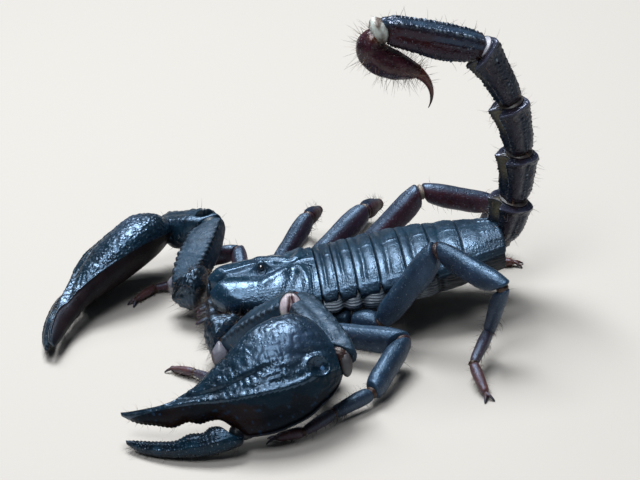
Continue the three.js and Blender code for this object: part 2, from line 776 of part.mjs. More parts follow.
function vesicle() {
  const hinge = telsonHinge();
  const rings = BULB.map(({ pitch, past, width, depth }) => {
    const course = tailAim(pitch, BULB_LEAN);
    const belly = squareTo(course, tailAim(pitch - 90, BULB_LEAN));
    const across = course.clone().cross(belly);
    return roundOutline(10).map(([x, y]) =>
      hinge
        .clone()
        .addScaledVector(course, past)
        .addScaledVector(across, (x * width) / 2)
        .addScaledVector(belly, ((1 + y) * depth) / 2),
    );
  });
  return ringsToGeometry(rings);
}

// The hooked sting, which goes on from the bulb's end.
function aculeus() {
  const end = BULB.at(-1);
  const course = tailAim(end.pitch, BULB_LEAN);
  const belly = squareTo(course, tailAim(end.pitch - 90, BULB_LEAN));
  const centre = telsonHinge();
  centre.addScaledVector(course, end.past + GAP).addScaledVector(belly, end.depth / 2);
  const steps = 6;
  const rings = [];
  for (let step = 0; step <= steps; step++) {
    const t = step / steps;
    const bend = tailAim(STING.pitch - STING.hook * t ** 1.2, BULB_LEAN);
    const radius = lerp(STING.thickness / 2, 0.27, t ** 0.8);
    const upward = squareTo(bend, belly);
    const across = bend.clone().cross(upward);
    rings.push(
      roundOutline(8).map(([x, y]) =>
        centre
          .clone()
          .addScaledVector(across, x * radius)
          .addScaledVector(upward, y * radius),
      ),
    );
    centre.addScaledVector(bend, STING.length / steps);
  }
  return ringsToGeometry(rings);
}

// ---- assembly ----

const scorpion = new THREE.Group();
scorpion.add(named("carapace", carapace(), COLOURS.shell, 0.35));
scorpion.add(named("fore_underside", foreUnderside(), COLOURS.belly, 0.6));
const tailRoom = tailRing(1, GAP);
const coxaRoom = [-1, 1].map((side) => legCoxa(side, 3, GAP));
scorpion.add(named("trunk", trunk(tailRoom, ...coxaRoom), COLOURS.belly, 0.7));
for (let number = 1; number <= 7; number++) {
  const hollows = number === 7 ? [tailRoom] : [];
  scorpion.add(named(`tergite_${number}`, tergite(number, ...hollows), COLOURS.shell, 0.45));
}
for (const [sideName, side] of [["left", 1], ["right", -1]]) {
  scorpion.add(named(`median_eye_${sideName}`, ball(eyeCentre(side), EYE.radius), COLOURS.eye, 0.1));
  scorpion.add(named(`chelicera_${sideName}`, chelicera(side), COLOURS.jaw, 0.6));
  scorpion.add(named(`pecten_${sideName}`, pecten(side), COLOURS.belly, 0.7));
  scorpion.add(...pincerPieces(sideName));
  for (let leg = 0; leg < 4; leg++) scorpion.add(...legPieces(sideName, leg));
}
for (let number = 1; number <= 5; number++) {
  scorpion.add(named(`metasoma_${number}`, tailRing(number), COLOURS.tail, 0.45));
}
scorpion.add(named("vesicle", vesicle(), COLOURS.sting, 0.35));
scorpion.add(named("aculeus", aculeus(), COLOURS.sting, 0.3));

// The origin is on the floor, under the middle of the whole animal.
const extent = new THREE.Box3().setFromObject(scorpion);
const middle = extent.getCenter(new THREE.Vector3());
scorpion.position.set(-middle.x, -middle.y, 0);

const part = new THREE.Group();
part.add(scorpion);

export default part;
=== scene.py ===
"""A giant forest scorpion, life size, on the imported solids. Lengths are millimetres until a mesh is made."""

import itertools
import math

import bpy
import numpy as np
from mathutils import Matrix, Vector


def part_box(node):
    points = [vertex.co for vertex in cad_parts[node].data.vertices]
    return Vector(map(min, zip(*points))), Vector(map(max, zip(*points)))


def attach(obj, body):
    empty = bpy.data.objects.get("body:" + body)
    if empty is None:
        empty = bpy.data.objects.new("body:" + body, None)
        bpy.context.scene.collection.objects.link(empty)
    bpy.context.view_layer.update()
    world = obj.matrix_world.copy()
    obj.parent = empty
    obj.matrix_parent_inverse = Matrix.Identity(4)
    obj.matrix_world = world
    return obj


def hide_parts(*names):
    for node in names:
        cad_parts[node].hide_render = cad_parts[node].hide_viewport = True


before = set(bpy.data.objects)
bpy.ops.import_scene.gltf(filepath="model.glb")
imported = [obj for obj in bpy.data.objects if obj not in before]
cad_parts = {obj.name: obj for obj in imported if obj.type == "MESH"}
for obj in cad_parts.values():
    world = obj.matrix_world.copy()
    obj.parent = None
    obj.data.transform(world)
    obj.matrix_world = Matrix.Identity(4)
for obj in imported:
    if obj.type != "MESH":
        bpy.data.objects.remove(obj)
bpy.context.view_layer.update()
rng = np.random.default_rng(11)

# ---- the animal's own frame: x to its left, -y ahead, y = 0 at the rear edge of the carapace ----

EYE_ASIDE, EYE_FROM_REAR = 0.75, 8.1  # where the solids' left median eye is in that frame
low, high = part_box("median_eye_left")
SHIFT = np.array([500 * (low.x + high.x) - EYE_ASIDE, 500 * (low.y + high.y) + EYE_FROM_REAR, 0.0])
METRES = 0.001
UP = np.array([0, 0, 1.0])
GAP = 0.3  # between two solids
SIDES = ((1, "left"), (-1, "right"))

CARAPACE_LENGTH = 16.8
PLATE_LENGTHS = [2.6, 2.9, 3.6, 4.1, 4.4, 4.9, 6.8]
SEAMS = np.concatenate([[0], np.cumsum(PLATE_LENGTHS)])
HALF_WIDTHS = [8.2, 8.3, 8.5, 8.7, 8.7, 8.3, 7.3, 4.9]
DOMES = [3.2, 3.3, 3.4, 3.5, 3.5, 3.3, 3.0, 2.3]

# The tail: each ring's length, width, depth, pitch and lean, then the bulb's pitch, distance from its hinge,
# width and depth at even steps.
TAIL_ROOT = [-1.7, 29.5, 9.7]
TAIL = [(7.6, 6.0, 5.4, 73, 9), (8.6, 5.4, 5.0, 83, 8), (9.2, 5.0, 4.8, 98, 8), (10.6, 4.7, 4.6, 113, 7),
        (14.9, 4.4, 4.7, 161, 2)]
BULB = [(168, 0.55, 2.3, 2.1), (200, 0.45, 2.9, 2.5), (235, 0.45, 3.6, 3.2), (270, 0.5, 4.3, 4.1),
        (302, 1.1, 4.7, 4.5), (316, 3.0, 4.7, 4.5), (318, 5.0, 4.0, 3.9), (318, 6.6, 3.0, 2.9),
        (318, 7.7, 2.2, 2.2)]
BULB_LEAN = -8
STING_LENGTH, STING_RADIUS, STING_TIP_RADIUS = 7.25, 1.05, 0.06

# A pincer's segments: length, heading and pitch. A hand's are its heading, pitch and roll.
PINCERS = {
    "left": {"root": [6.7, -15.6, 5.1], "coxa": (5.5, 96, -3), "femur": (14.0, 154, 35),
             "patella": (13.4, 111, -10), "hand": (-2, -12, 46), "closing": 0},
    "right": {"root": [-4.9, -17.2, 5.7], "coxa": (3.8, 28, 0), "femur": (12.3, 119, 23),
              "patella": (12.2, 43, -16), "hand": (-53, -8, 42), "closing": 9},
}

# A leg's six lengths and its width, its hip, and its six headings and first five pitches. The last pitch is
# the one that brings the foot to FOOT_HEIGHT.
LEG_SIZES = [(3.3, 8.2, 8.0, 5.9, 4.5, 4.0, 3.0), (3.8, 11.0, 9.7, 6.8, 5.5, 4.5, 3.1),
             (4.2, 13.2, 11.1, 6.9, 5.7, 4.2, 3.7), (4.7, 14.8, 12.3, 9.0, 7.2, 5.5, 3.8)]
HIPS = [[6.2, -10.2, 3.9], [7.0, -6.8, 4.1], [7.6, -2.8, 4.2], [8.4, 4.2, 4.4]]
FOOT_HEIGHT = 0.75
LEG_POSES = {
    "left": [([74, 122, 29, -40, -52, -42], [-11, 9, -15, -9, -4]),
             ([104, 122, 36, -8, -17, 0], [-5, 6, -17, -6, -3]),
             ([125, 146, 55, 30, 34, -12], [-3, 4, -13, -3, -4]),
             ([152, 173, 131, -54, 59, 100], [0, 51, -13, -69, -13])],
    "right": [([72, 90, 25, -58, 8, -40], [-8, 12, -16, -14, -5]),
              ([99, 140, 105, 63, -64, -56], [-2, 34, -20, -46, -5]),
              ([126, 151, 109, 74, -65, -50], [-1, 26, -21, -32, -5]),
              ([138, 162, -173, 62, -82, -162], [0, 34, -16, -57, -7])],
}

# The camera, fitted to the photo, and the area lamps: place, watts, size and colour.
CAMERA = {"azimuth": 85.68, "elevation": 27.10, "roll": -5.47, "target": [-8.19, 1.68, 10.02],
          "distance": 310.26, "focal_pixels": 1947.4}
PHOTO_WIDTH, SENSOR_WIDTH = 640, 36
LAMPS = [("sky", (-0.18, -0.03, 0.60), 7.2, 0.28, (0.97, 0.985, 1.0)),
         ("back_sky", (-0.38, -0.20, 0.50), 0.8, 0.20, (0.92, 0.96, 1.0)),
         ("near_fill", (0.26, -0.14, 0.56), 2.4, 0.24, (0.95, 0.97, 1.0))]

# Linear colours.
BLACK_BLUE = np.array([0.0022, 0.0062, 0.0115])
SLATE = np.array([0.011, 0.026, 0.052])
TEAL = np.array([0.0026, 0.0145, 0.0275])
MAROON = np.array([0.045, 0.008, 0.008])
BROWN = np.array([0.022, 0.010, 0.006])
ORANGE = np.array([0.30, 0.085, 0.028])
PINK = np.array([0.30, 0.17, 0.17])
GREY = np.array([0.16, 0.17, 0.19])
SOOT = np.array([0.012, 0.009, 0.008])

# ---- numbers ----


def unit(v):
    v = np.asarray(v, float)
    return v / np.linalg.norm(v)


def units(v):
    """Each vector of an array, at length 1."""
    return v / np.maximum(np.linalg.norm(v, axis=-1, keepdims=True), 1e-9)


def aim(side, heading, pitch):
    h, p = math.radians(heading), math.radians(pitch)
    return np.array([side * math.sin(h) * math.cos(p), -math.cos(h) * math.cos(p), math.sin(p)])


def tail_aim(pitch, lean):
    p, l = math.radians(pitch), math.radians(lean)
    return np.array([math.sin(l), math.cos(p) * math.cos(l), math.sin(p) * math.cos(l)])


def square_to(direction, wanted):
    return unit(wanted - direction * np.dot(wanted, direction))


def smoothstep(x, a, b):
    t = np.clip((x - a) / (b - a), 0, 1)
    return t * t * (3 - 2 * t)


def bell(x, centre, width):
    return np.exp(-(((x - centre) / width) ** 2))


def turns(sides):
    """Angles once round a tube, as a row."""
    return np.linspace(0, 2 * np.pi, sides, endpoint=False)[None, :]


def past(phi, angle):
    """How far phi is past an angle, in degrees from -180 to 180."""
    return (np.degrees(phi) - angle + 180) % 360 - 180


def squarish(phi, power):
    """A unit circle's points, pushed out towards a square's."""
    x, y = np.cos(phi), np.sin(phi)
    reach = (np.abs(x) ** power + np.abs(y) ** power) ** (-1 / power)
    return x * reach, y * reach


def rounded(t, reach, least=0.0004):
    """The quarter circle that closes a tube's end: it rises from t = 0 to 1 at t = reach."""
    return np.sqrt(np.clip(1 - (1 - np.clip(t / reach, 0, 1)) ** 2, least, 1))


def window(t, first, last):
    """1 between two places, falling off over 0.04 past each."""
    return smoothstep(t, first - 0.04, first + 0.04) * (1 - smoothstep(t, last - 0.04, last + 0.04))


def curve(x, pairs):
    """A smooth curve through (place, value) pairs, read at x."""
    xs, ys = np.array(pairs, float).T
    slope = np.gradient(ys, xs)
    x = np.clip(x, xs[0], xs[-1])
    i = np.clip(np.searchsorted(xs, x, side="right") - 1, 0, len(xs) - 2)
    h = xs[i + 1] - xs[i]
    t = (x - xs[i]) / h
    return ((1 + 2 * t) * (1 - t) ** 2 * ys[i] + t * (1 - t) ** 2 * h * slope[i]
            + t * t * (3 - 2 * t) * ys[i + 1] + t * t * (t - 1) * h * slope[i + 1])


def hash01(i, j, k, seed):
    n = (i * 73856093) ^ (j * 19349663) ^ (k * 83492791) ^ (seed * 40503)
    n = (n ^ (n >> 13)) * 1274126177 & 0xFFFFFFFF
    return ((n ^ (n >> 16)) & 0xFFFF) / 65535.0


def cells_of(points, size):
    q = np.asarray(points) / size
    return q, np.floor(q).astype(np.int64)


def noise(points, size, seed=0):
    """Smooth noise from -1 to 1, with features about size across."""
    q, base = cells_of(points, size)
    t = q - base
    t = t * t * (3 - 2 * t)
    total = 0
    for corner in itertools.product((0, 1), repeat=3):
        weight = np.where(corner, t, 1 - t).prod(axis=-1)
        total = total + weight * hash01(*np.moveaxis(base + corner, -1, 0), seed)
    return 2 * total - 1


def grains(points, size, seed=0):
    """Round grains, one in each cell of about size across: 1 at a grain's middle, 0 between grains."""
    q, base = cells_of(points, size)
    nearest = np.full(q.shape[:-1], 9.0)
    for step in itertools.product((-1, 0, 1), repeat=3):
        cell = base + step
        middle = np.stack([hash01(*np.moveaxis(cell, -1, 0), seed + axis) for axis in range(3)], -1)
        nearest = np.minimum(nearest, ((cell + 0.2 + 0.6 * middle - q) ** 2).sum(axis=-1))
    return np.clip(1 - nearest / 0.3, 0, 1)


def noise_at(a, b, c, size, seed=0):
    """Noise at three coordinates that broadcast together."""
    return noise(np.stack(np.broadcast_arrays(a, b, c), -1), size, seed)


def blend(a, b, share):
    share = np.asarray(share)[..., None]
    return np.asarray(a) * (1 - share) + np.asarray(b) * share


# ---- meshes ----


def signed_volume(points, quads):
    p = points[quads]
    halves = [np.einsum("ij,ij->i", p[:, 0], np.cross(p[:, k], p[:, k + 1])).sum() for k in (1, 2)]
    return sum(halves)


def make(name, points, quads, caps, material, nodes=(), tint=None, gloss=None, second=None, where=None):
    """A smooth mesh piece that rides on the body. tint and gloss are per-point colour and shine, and a second
    material goes where its own per-point value is over a half."""
    if signed_volume(points, quads) < 0:
        quads, caps = quads[:, ::-1], [c[::-1] for c in caps]
    sizes = np.concatenate([np.full(len(quads), 4), [len(c) for c in caps]]).astype(int)
    loops = np.concatenate([quads.ravel(), *caps]).astype(np.int32)
    mesh = bpy.data.meshes.new(name)
    mesh.vertices.add(len(points))
    mesh.vertices.foreach_set("co", ((points + SHIFT) * METRES).ravel().astype(np.float32))
    mesh.loops.add(len(loops))
    mesh.loops.foreach_set("vertex_index", loops)
    mesh.polygons.add(len(sizes))
    mesh.polygons.foreach_set("loop_start", (np.cumsum(sizes) - sizes).astype(np.int32))
    mesh.polygons.foreach_set("use_smooth", np.ones(len(sizes), bool))
    mesh.update(calc_edges=True)
    mesh.validate()
    shade = np.full((len(points), 4), 0.5, np.float32)
    if tint is not None:
        shade[:, :3] = np.clip(tint, 0, 1)
    if gloss is not None:
        shade[:, 3] = np.clip(gloss, 0, 1)
    mesh.color_attributes.new("tint", "FLOAT_COLOR", "POINT").data.foreach_set("color", shade.ravel())
    mesh.materials.append(material)
    if second is not None:
        mesh.materials.append(second)
        index = np.concatenate([where[quads].mean(axis=1) > 0.5, np.zeros(len(caps), bool)])
        mesh.polygons.foreach_set("material_index", index.astype(np.int32))
    piece = bpy.data.objects.new(name, mesh)
    bpy.context.scene.collection.objects.link(piece)
    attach(piece, "root")
    if nodes:
        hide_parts(*nodes)
    return piece


def sheet_quads(rows, columns, wrap):
    i, j = np.meshgrid(np.arange(rows - 1), np.arange(columns if wrap else columns - 1), indexing="ij")
    a, b = i * columns + j, i * columns + (j + 1) % columns
    return np.stack([a, b, b + columns, a + columns], -1).reshape(-1, 4)


def tubes(name, grids, material, nodes=(), tints=None, glosses=None, second=None, where=None):
    """Closed tubes, given as (rows, columns, 3) grids, as one piece. tints and glosses have one entry a tube,
    each one value for the whole tube or one a point, and so has where."""
    quads, caps, first = [], [], 0
    for grid in grids:
        rows, columns = grid.shape[:2]
        quad = sheet_quads(rows, columns, True)
        start = np.arange(columns)[::-1]
        end = (rows - 1) * columns + np.arange(columns)
        if signed_volume(grid.reshape(-1, 3), quad) < 0:
            quad, start, end = quad[:, ::-1], start[::-1], end[::-1]
        quads.append(quad + first)
        caps += [start + first, end + first]
        first += rows * columns

    def flat(entries, *width):
        return None if entries is None else np.concatenate(
            [np.broadcast_to(e, (*g.shape[:2], *width)).reshape(-1, *width) for e, g in zip(entries, grids)])

    points = np.concatenate([g.reshape(-1, 3) for g in grids])
    return make(name, points, np.concatenate(quads), caps, material, nodes, flat(tints, 3), flat(glosses),
                second, flat(where))


def slab(name, top, bottom, material, nodes, tint, gloss):
    """A closed plate from a top sheet and a bottom sheet of one shape."""
    rows, columns = top.shape[:2]
    count = rows * columns
    index = np.arange(count).reshape(rows, columns)
    upper = sheet_quads(rows, columns, False)
    quads = [upper, upper[:, ::-1] + count]
    for edge in (index[0], index[:, -1], index[-1][::-1], index[::-1, 0]):
        quads.append(np.stack([edge[1:], edge[:-1], edge[:-1] + count, edge[1:] + count], -1))
    points = np.concatenate([top.reshape(-1, 3), bottom.reshape(-1, 3)])
    return make(name, points, np.concatenate(quads), [], material, nodes,
                np.tile(tint.reshape(-1, 3), (2, 1)), np.tile(gloss.ravel(), 2))


def spread(rows, power):
    """Places from 0 to 1, closer together towards both ends."""
    x = np.linspace(0, 1, rows)
    return power * (1 - np.cos(np.pi * x)) / 2 + (1 - power) * x


def limb(start, direction, length, width, depth, taper, top=UP, before=None, after=None, power=2.3,
         rows=70, sides=56, keels=(), rough=0.0, rough_size=0.8, ends=(0.06, 0.06), bow=0.0, seed=0):
    """One stretch of a limb: a grid of points, its places along (t), its angles (0 across, 90 degrees on top)
    and the height of its keels. Its ends are cut halfway to the directions before and after it.
    keels are (angle, height, width in degrees, number of teeth, from, to)."""
    start, direction = np.asarray(start, float), unit(direction)
    upward = square_to(direction, top)
    across = np.cross(direction, upward)
    t, phi = spread(rows, 0.7)[:, None], turns(sides)
    wide, deep = (curve(t, [(row[0], row[k]) for row in taper]) * size / 2
                  for k, size in ((1, width), (2, depth)))
    bump = np.zeros((rows, sides))
    for angle, height, spread_deg, teeth, first, last in keels:
        tooth = 1.0
        if teeth:
            place = teeth * t + 0.28 * noise_at(teeth * t, 0, angle, 1.7, seed + 1)
            size = 0.55 + 0.45 * noise_at(np.floor(place), 0, angle, 0.61, seed + 2)
            tooth = 0.1 + np.clip(size, 0.25, 1.0) * np.abs(np.sin(np.pi * place)) ** 0.8
        bump = bump + height * bell(past(phi, angle), 0, spread_deg) * window(t, first, last) * tooth
    dome = rounded(t, ends[0]) * rounded(1 - t, ends[1])
    x, y = squarish(phi, power)
    offset = (((x * wide + np.cos(phi) * bump) * dome)[..., None] * across
              + ((y * deep + np.sin(phi) * bump) * dome)[..., None] * upward)
    slides = []
    for other, room in ((before, GAP / 2), (after, -GAP / 2)):
        plane = unit((direction if other is None else unit(other)) + direction)
        slides.append((room - offset @ plane) / (direction @ plane))
    along = t * length + slides[0] * (1 - t) ** 3 + slides[1] * t ** 3
    points = start + offset + along[..., None] * direction + (bow * np.sin(np.pi * t))[..., None] * upward
    if rough:
        points = points + units(offset) * (rough * noise(points, rough_size, seed) * dome)[..., None]
    return points, np.broadcast_to(t, (rows, sides)), np.broadcast_to(phi, (rows, sides)), bump


def blob(centre, axes, radii, rows=22, sides=28, wrinkle=0.0):
    """An ellipsoid on three axes, the first of them its pole."""
    a, phi = np.linspace(0.02, np.pi - 0.02, rows)[:, None], turns(sides)
    ball = [np.cos(a) * np.ones_like(phi), np.sin(a) * np.cos(phi), np.sin(a) * np.sin(phi)]
    out = sum((u * r)[..., None] * unit(axis) for u, r, axis in zip(ball, radii, axes))
    return np.asarray(centre, float) + out + units(out) * (wrinkle * np.sin(14 * a) * np.sin(a))[..., None]


def joint_skin(joint, d_in, d_out, width, depth, top=UP, thick=0.9):
    """The soft skin in a joint, between the ends of two stretches."""
    axis = unit(unit(d_in) + unit(d_out))
    upward = square_to(axis, top)
    return blob(joint, [axis, np.cross(axis, upward), upward], [thick, width / 2, depth / 2], wrinkle=0.05)


# ---- materials ----


class Nodes:
    """A short way to write a material's nodes. Sizes and depths are millimetres."""

    def __init__(self, name):
        self.material = bpy.data.materials.new(name)
        self.material.use_nodes = True
        self.tree = self.material.node_tree
        self.shader = self.tree.nodes["Principled BSDF"]
        self.place = self.add("ShaderNodeTexCoord").outputs["Object"]
        self.tint = self.add("ShaderNodeAttribute", attribute_name="tint")

    def add(self, kind, **settings):
        node = self.tree.nodes.new(kind)
        for key, value in settings.items():
            setattr(node, key, value)
        return node

    def put(self, value, socket):
        if isinstance(value, bpy.types.NodeSocket):
            self.tree.links.new(value, socket)
        else:
            socket.default_value = value

    def fill(self, node, inputs, output=0):
        for key, value in inputs.items():
            self.put(value, node.inputs[key])
        return node.outputs[output]

    def math(self, operation, *values):
        return self.fill(self.add("ShaderNodeMath", operation=operation), dict(enumerate(values)))

    def noise(self, size, detail=3.0):
        return self.fill(self.add("ShaderNodeTexNoise"),
                         {"Scale": 1000 / size, "Detail": detail, "Vector": self.place}, "Fac")

    def cells(self, size):
        return self.fill(self.add("ShaderNodeTexVoronoi"), {"Scale": 1000 / size, "Vector": self.place},
                         "Distance")

    def fit(self, value, *limits, smooth=False):
        """value, taken from the range of the first two limits to that of the last two."""
        node = self.add("ShaderNodeMapRange", interpolation_type="SMOOTHSTEP" if smooth else "LINEAR")
        return self.fill(node, dict(enumerate((value, *limits))), "Result")

    def mix(self, factor, a, b, mode="MIX"):
        node = self.add("ShaderNodeMix", data_type="RGBA", blend_type=mode)
        return self.fill(node, {"Factor": factor, 6: a, 7: b}, 2)

    def bump(self, height, depth, normal=None):
        inputs = {"Strength": 1.0, "Distance": depth * METRES, "Height": height}
        if normal is not None:
            inputs["Normal"] = normal
        return self.fill(self.add("ShaderNodeBump"), inputs, "Normal")

    def finish(self, colour, rough, normal=None, **fixed):
        inputs = {"Base Color": colour, "Roughness": rough}
        if normal is not None:
            inputs["Normal"] = normal
        self.fill(self.shader, inputs | {key.replace("_", " "): value for key, value in fixed.items()})
        return self.material


def cuticle(name, grain, wrinkle, rough, coat=0.0, level=0.5, sheen_tint=(0.42, 0.67, 1.0), flecks=0.5):
    """Chitin. grain and wrinkle are a size and a depth each. The tint attribute gives its colour, and its
    fourth value its shine, 0.5 being rough as stated."""
    n = Nodes(name)
    mottle = n.fit(n.noise(1.7, 4.0), 0.3, 0.7, 0.72, 1.28)
    colour = n.mix(1.0, n.tint.outputs["Color"], mottle, "MULTIPLY")
    fleck = n.fit(n.noise(0.3, 2.0), 0.70 - 0.07 * flecks, 0.755 - 0.07 * flecks, 0.0, flecks)
    colour = n.mix(fleck, colour, (0.17, 0.20, 0.24, 1.0))
    dull = n.math("MULTIPLY_ADD", n.tint.outputs["Alpha"], -0.5, rough + 0.25)
    blur = n.math("ADD", dull, n.fit(n.noise(1.1), 0.3, 0.7, -0.07, 0.07))
    height = n.fit(n.cells(grain[0]), 0.0, 0.55, 1.0, 0.0, smooth=True)
    sparse = n.fit(n.noise(grain[0] * 4, 1.0), 0.4, 0.6, 0.25, 1.0, smooth=True)
    normal = n.bump(n.math("MULTIPLY", height, sparse), grain[1])
    normal = n.bump(n.noise(wrinkle[0]), wrinkle[1], normal)
    return n.finish(colour, blur, normal, Coat_Weight=coat, Coat_Roughness=0.12, Specular_IOR_Level=level,
                    Specular_Tint=(*sheen_tint, 1.0), IOR=1.56)


def joint_membrane():
    """Soft joint skin, finely creased."""
    n = Nodes("joint_membrane")
    colour = n.mix(1.0, n.tint.outputs["Color"], n.fit(n.noise(0.8, 4.0), 0.3, 0.7, 0.75, 1.2), "MULTIPLY")
    return n.finish(colour, 0.42, n.bump(n.noise(0.28, 2.0), 0.05), Subsurface_Weight=0.15,
                    Subsurface_Radius=(0.001, 0.0006, 0.0005), Subsurface_Scale=0.5)


def pleura_skin():
    """The flank's grey membrane, with long wavy striations."""
    n = Nodes("pleura_membrane")
    flattened = n.fill(n.add("ShaderNodeMapping"), {"Scale": (0.6, 0.35, 1.0), "Vector": n.place}, "Vector")
    line = n.fill(n.add("ShaderNodeTexWave", wave_type="BANDS", bands_direction="Z"),
                  {"Scale": 760, "Distortion": 9.0, "Detail": 2.0, "Detail Scale": 0.6, "Vector": flattened},
                  "Fac")
    colour = n.mix(n.fit(line, 0.7, 1.0, 0.0, 3.0), n.tint.outputs["Color"], n.tint.outputs["Color"], "ADD")
    colour = n.mix(1.0, colour, n.fit(n.noise(1.5), 0.3, 0.7, 0.7, 1.2), "MULTIPLY")
    normal = n.bump(line, 0.05, n.bump(n.noise(0.5), 0.04))
    return n.finish(colour, 0.42, normal, Specular_IOR_Level=0.5, Specular_Tint=(0.85, 0.93, 1.0, 1.0))


def bristle_material():
    n = Nodes("bristles")
    return n.finish(n.tint.outputs["Color"], 0.38, Specular_IOR_Level=0.6)


def eye_material():
    n = Nodes("eye_lens")
    colour = n.mix(n.noise(0.2, 2.0), (0.002, 0.002, 0.003, 1.0), (0.008, 0.007, 0.01, 1.0))
    return n.finish(colour, 0.06, Coat_Weight=1.0, Coat_Roughness=0.02, Specular_IOR_Level=0.7)


SHELL = cuticle("shell_cuticle", (0.3, 0.03), (0.9, 0.06), 0.36, level=0.85)
LIMB = cuticle("leg_cuticle", (0.26, 0.045), (0.6, 0.06), 0.46, level=0.7, flecks=0.65)
FAR_LIMB = cuticle("far_leg_cuticle", (0.26, 0.045), (0.6, 0.06), 0.5, level=0.01)
CLAW = cuticle("pincer_cuticle", (0.45, 0.04), (1.0, 0.06), 0.38, coat=0.03, level=0.8)
ARM = cuticle("arm_cuticle", (0.45, 0.04), (1.0, 0.09), 0.38, coat=0.03, level=0.5)
CLAW_SIDE = cuticle("pincer_side_cuticle", (0.5, 0.03), (1.0, 0.06), 0.36, level=0.12, flecks=0.1)
FINGER = cuticle("finger_cuticle", (0.4, 0.06), (0.8, 0.12), 0.32, level=0.28, flecks=0.7)
TAIL_SKIN = cuticle("tail_cuticle", (0.34, 0.06), (0.8, 0.12), 0.28, level=0.38, sheen_tint=(0.60, 0.72, 1.0))
STING_SKIN = cuticle("sting_cuticle", (0.5, 0.04), (0.7, 0.08), 0.3, coat=0.12, level=0.35,
                     sheen_tint=(1.0, 0.95, 0.98), flecks=0.6)
SOFT = joint_membrane()
PLEURA = pleura_skin()
HAIR = bristle_material()
LENS = eye_material()

# ---- camera, floor and light ----


def place_at(thing, right, up, back, location):
    pose = np.eye(4)
    pose[:3] = np.stack([right, up, back, location], 1)
    bpy.context.scene.collection.objects.link(thing)
    thing.matrix_world = Matrix(pose.tolist())


def add_camera():
    a, e, r = (math.radians(CAMERA[key]) for key in ("azimuth", "elevation", "roll"))
    back = np.array([math.sin(a) * math.cos(e), -math.cos(a) * math.cos(e), math.sin(e)])
    right = np.array([math.cos(a), math.sin(a), 0])
    up = np.cross(back, right)
    data = bpy.data.cameras.new("camera")
    data.sensor_width = SENSOR_WIDTH
    data.lens = SENSOR_WIDTH * CAMERA["focal_pixels"] / PHOTO_WIDTH
    data.clip_start = 0.01
    camera = bpy.data.objects.new("camera", data)
    place_at(camera, right * math.cos(r) + up * math.sin(r), up * math.cos(r) - right * math.sin(r), back,
             (np.array(CAMERA["target"]) + SHIFT + CAMERA["distance"] * back) * METRES)
    bpy.context.scene.camera = camera


def add_floor():
    mesh = bpy.data.meshes.new("floor")
    mesh.from_pydata([(-3, -3, 0), (3, -3, 0), (3, 3, 0), (-3, 3, 0)], [], [(0, 1, 2, 3)])
    floor = bpy.data.objects.new("floor", mesh)
    bpy.context.scene.collection.objects.link(floor)
    mesh.materials.append(Nodes("floor_paper").finish((0.36, 0.345, 0.322, 1), 0.9))


def add_light():
    for name, place, power, size, colour in LAMPS:
        light = bpy.data.lights.new(name, "AREA")
        light.energy, light.size, light.color = power, size, colour
        away = unit(place)
        side = unit(np.cross([0.0, 1.0, 0.1], away))
        place_at(bpy.data.objects.new(name, light), side, np.cross(away, side), away, place)
    world = bpy.data.worlds.new("studio")
    bpy.context.scene.world = world
    world.use_nodes = True
    world.node_tree.nodes["Background"].inputs["Color"].default_value = (0.70, 0.80, 0.92, 1)
    world.node_tree.nodes["Background"].inputs["Strength"].default_value = 0.07


add_camera()
add_floor()
add_light()
bpy.context.scene.view_settings.view_transform = "Standard"

# ---- bristles ----

BRISTLE_RINGS = ((-0.04, 1.0), (0.35, 0.85), (0.7, 0.55), (1.0, 0.12))  # each ring's place and size
SQUARE = ((1, 0), (0, 1), (-1, 0), (0, -1))
PATCHES = 16  # squares a side on the unwrap
HAIRS = []


def bristles_on(grid, count, lengths, radius, tint, patch, rows=(0.05, 0.95), angles=(0, 360), lean=0.4,
                bend=0.25, spread_out=0.25, angle_steps=None):
    """Collects bristles at random places on a tube's grid. patch is the tube's own square on the unwrap."""
    points = grid[0] if isinstance(grid, tuple) else grid
    r, s = points.shape[:2]
    t = rng.uniform(*rows, count)
    angle = (rng.uniform(*angles, count) if angle_steps is None
             else rng.choice(angle_steps, count) + rng.normal(0, 3, count))
    i = np.clip((t * (r - 1)).astype(int), 1, r - 2)
    j = (angle / 360 * s).astype(int) % s
    root = points[i, j]
    along = points[i + 1, j] - points[i - 1, j]
    out = np.cross(along, points[i, (j + 1) % s] - points[i, (j - 1) % s])
    out *= np.sign(np.einsum("ij,ij->i", out, root - points[i].mean(axis=1)))[:, None]
    out = units(units(out) + rng.normal(0, spread_out, out.shape))
    place = np.stack([patch % PATCHES + 0.04 + 0.92 * t, patch // PATCHES + 0.04 + 0.92 * (angle % 360) / 360],
                     -1)
    HAIRS.append((root, out, units(along) * lean, rng.uniform(*lengths, count), radius, tint, place / PATCHES,
                  bend))


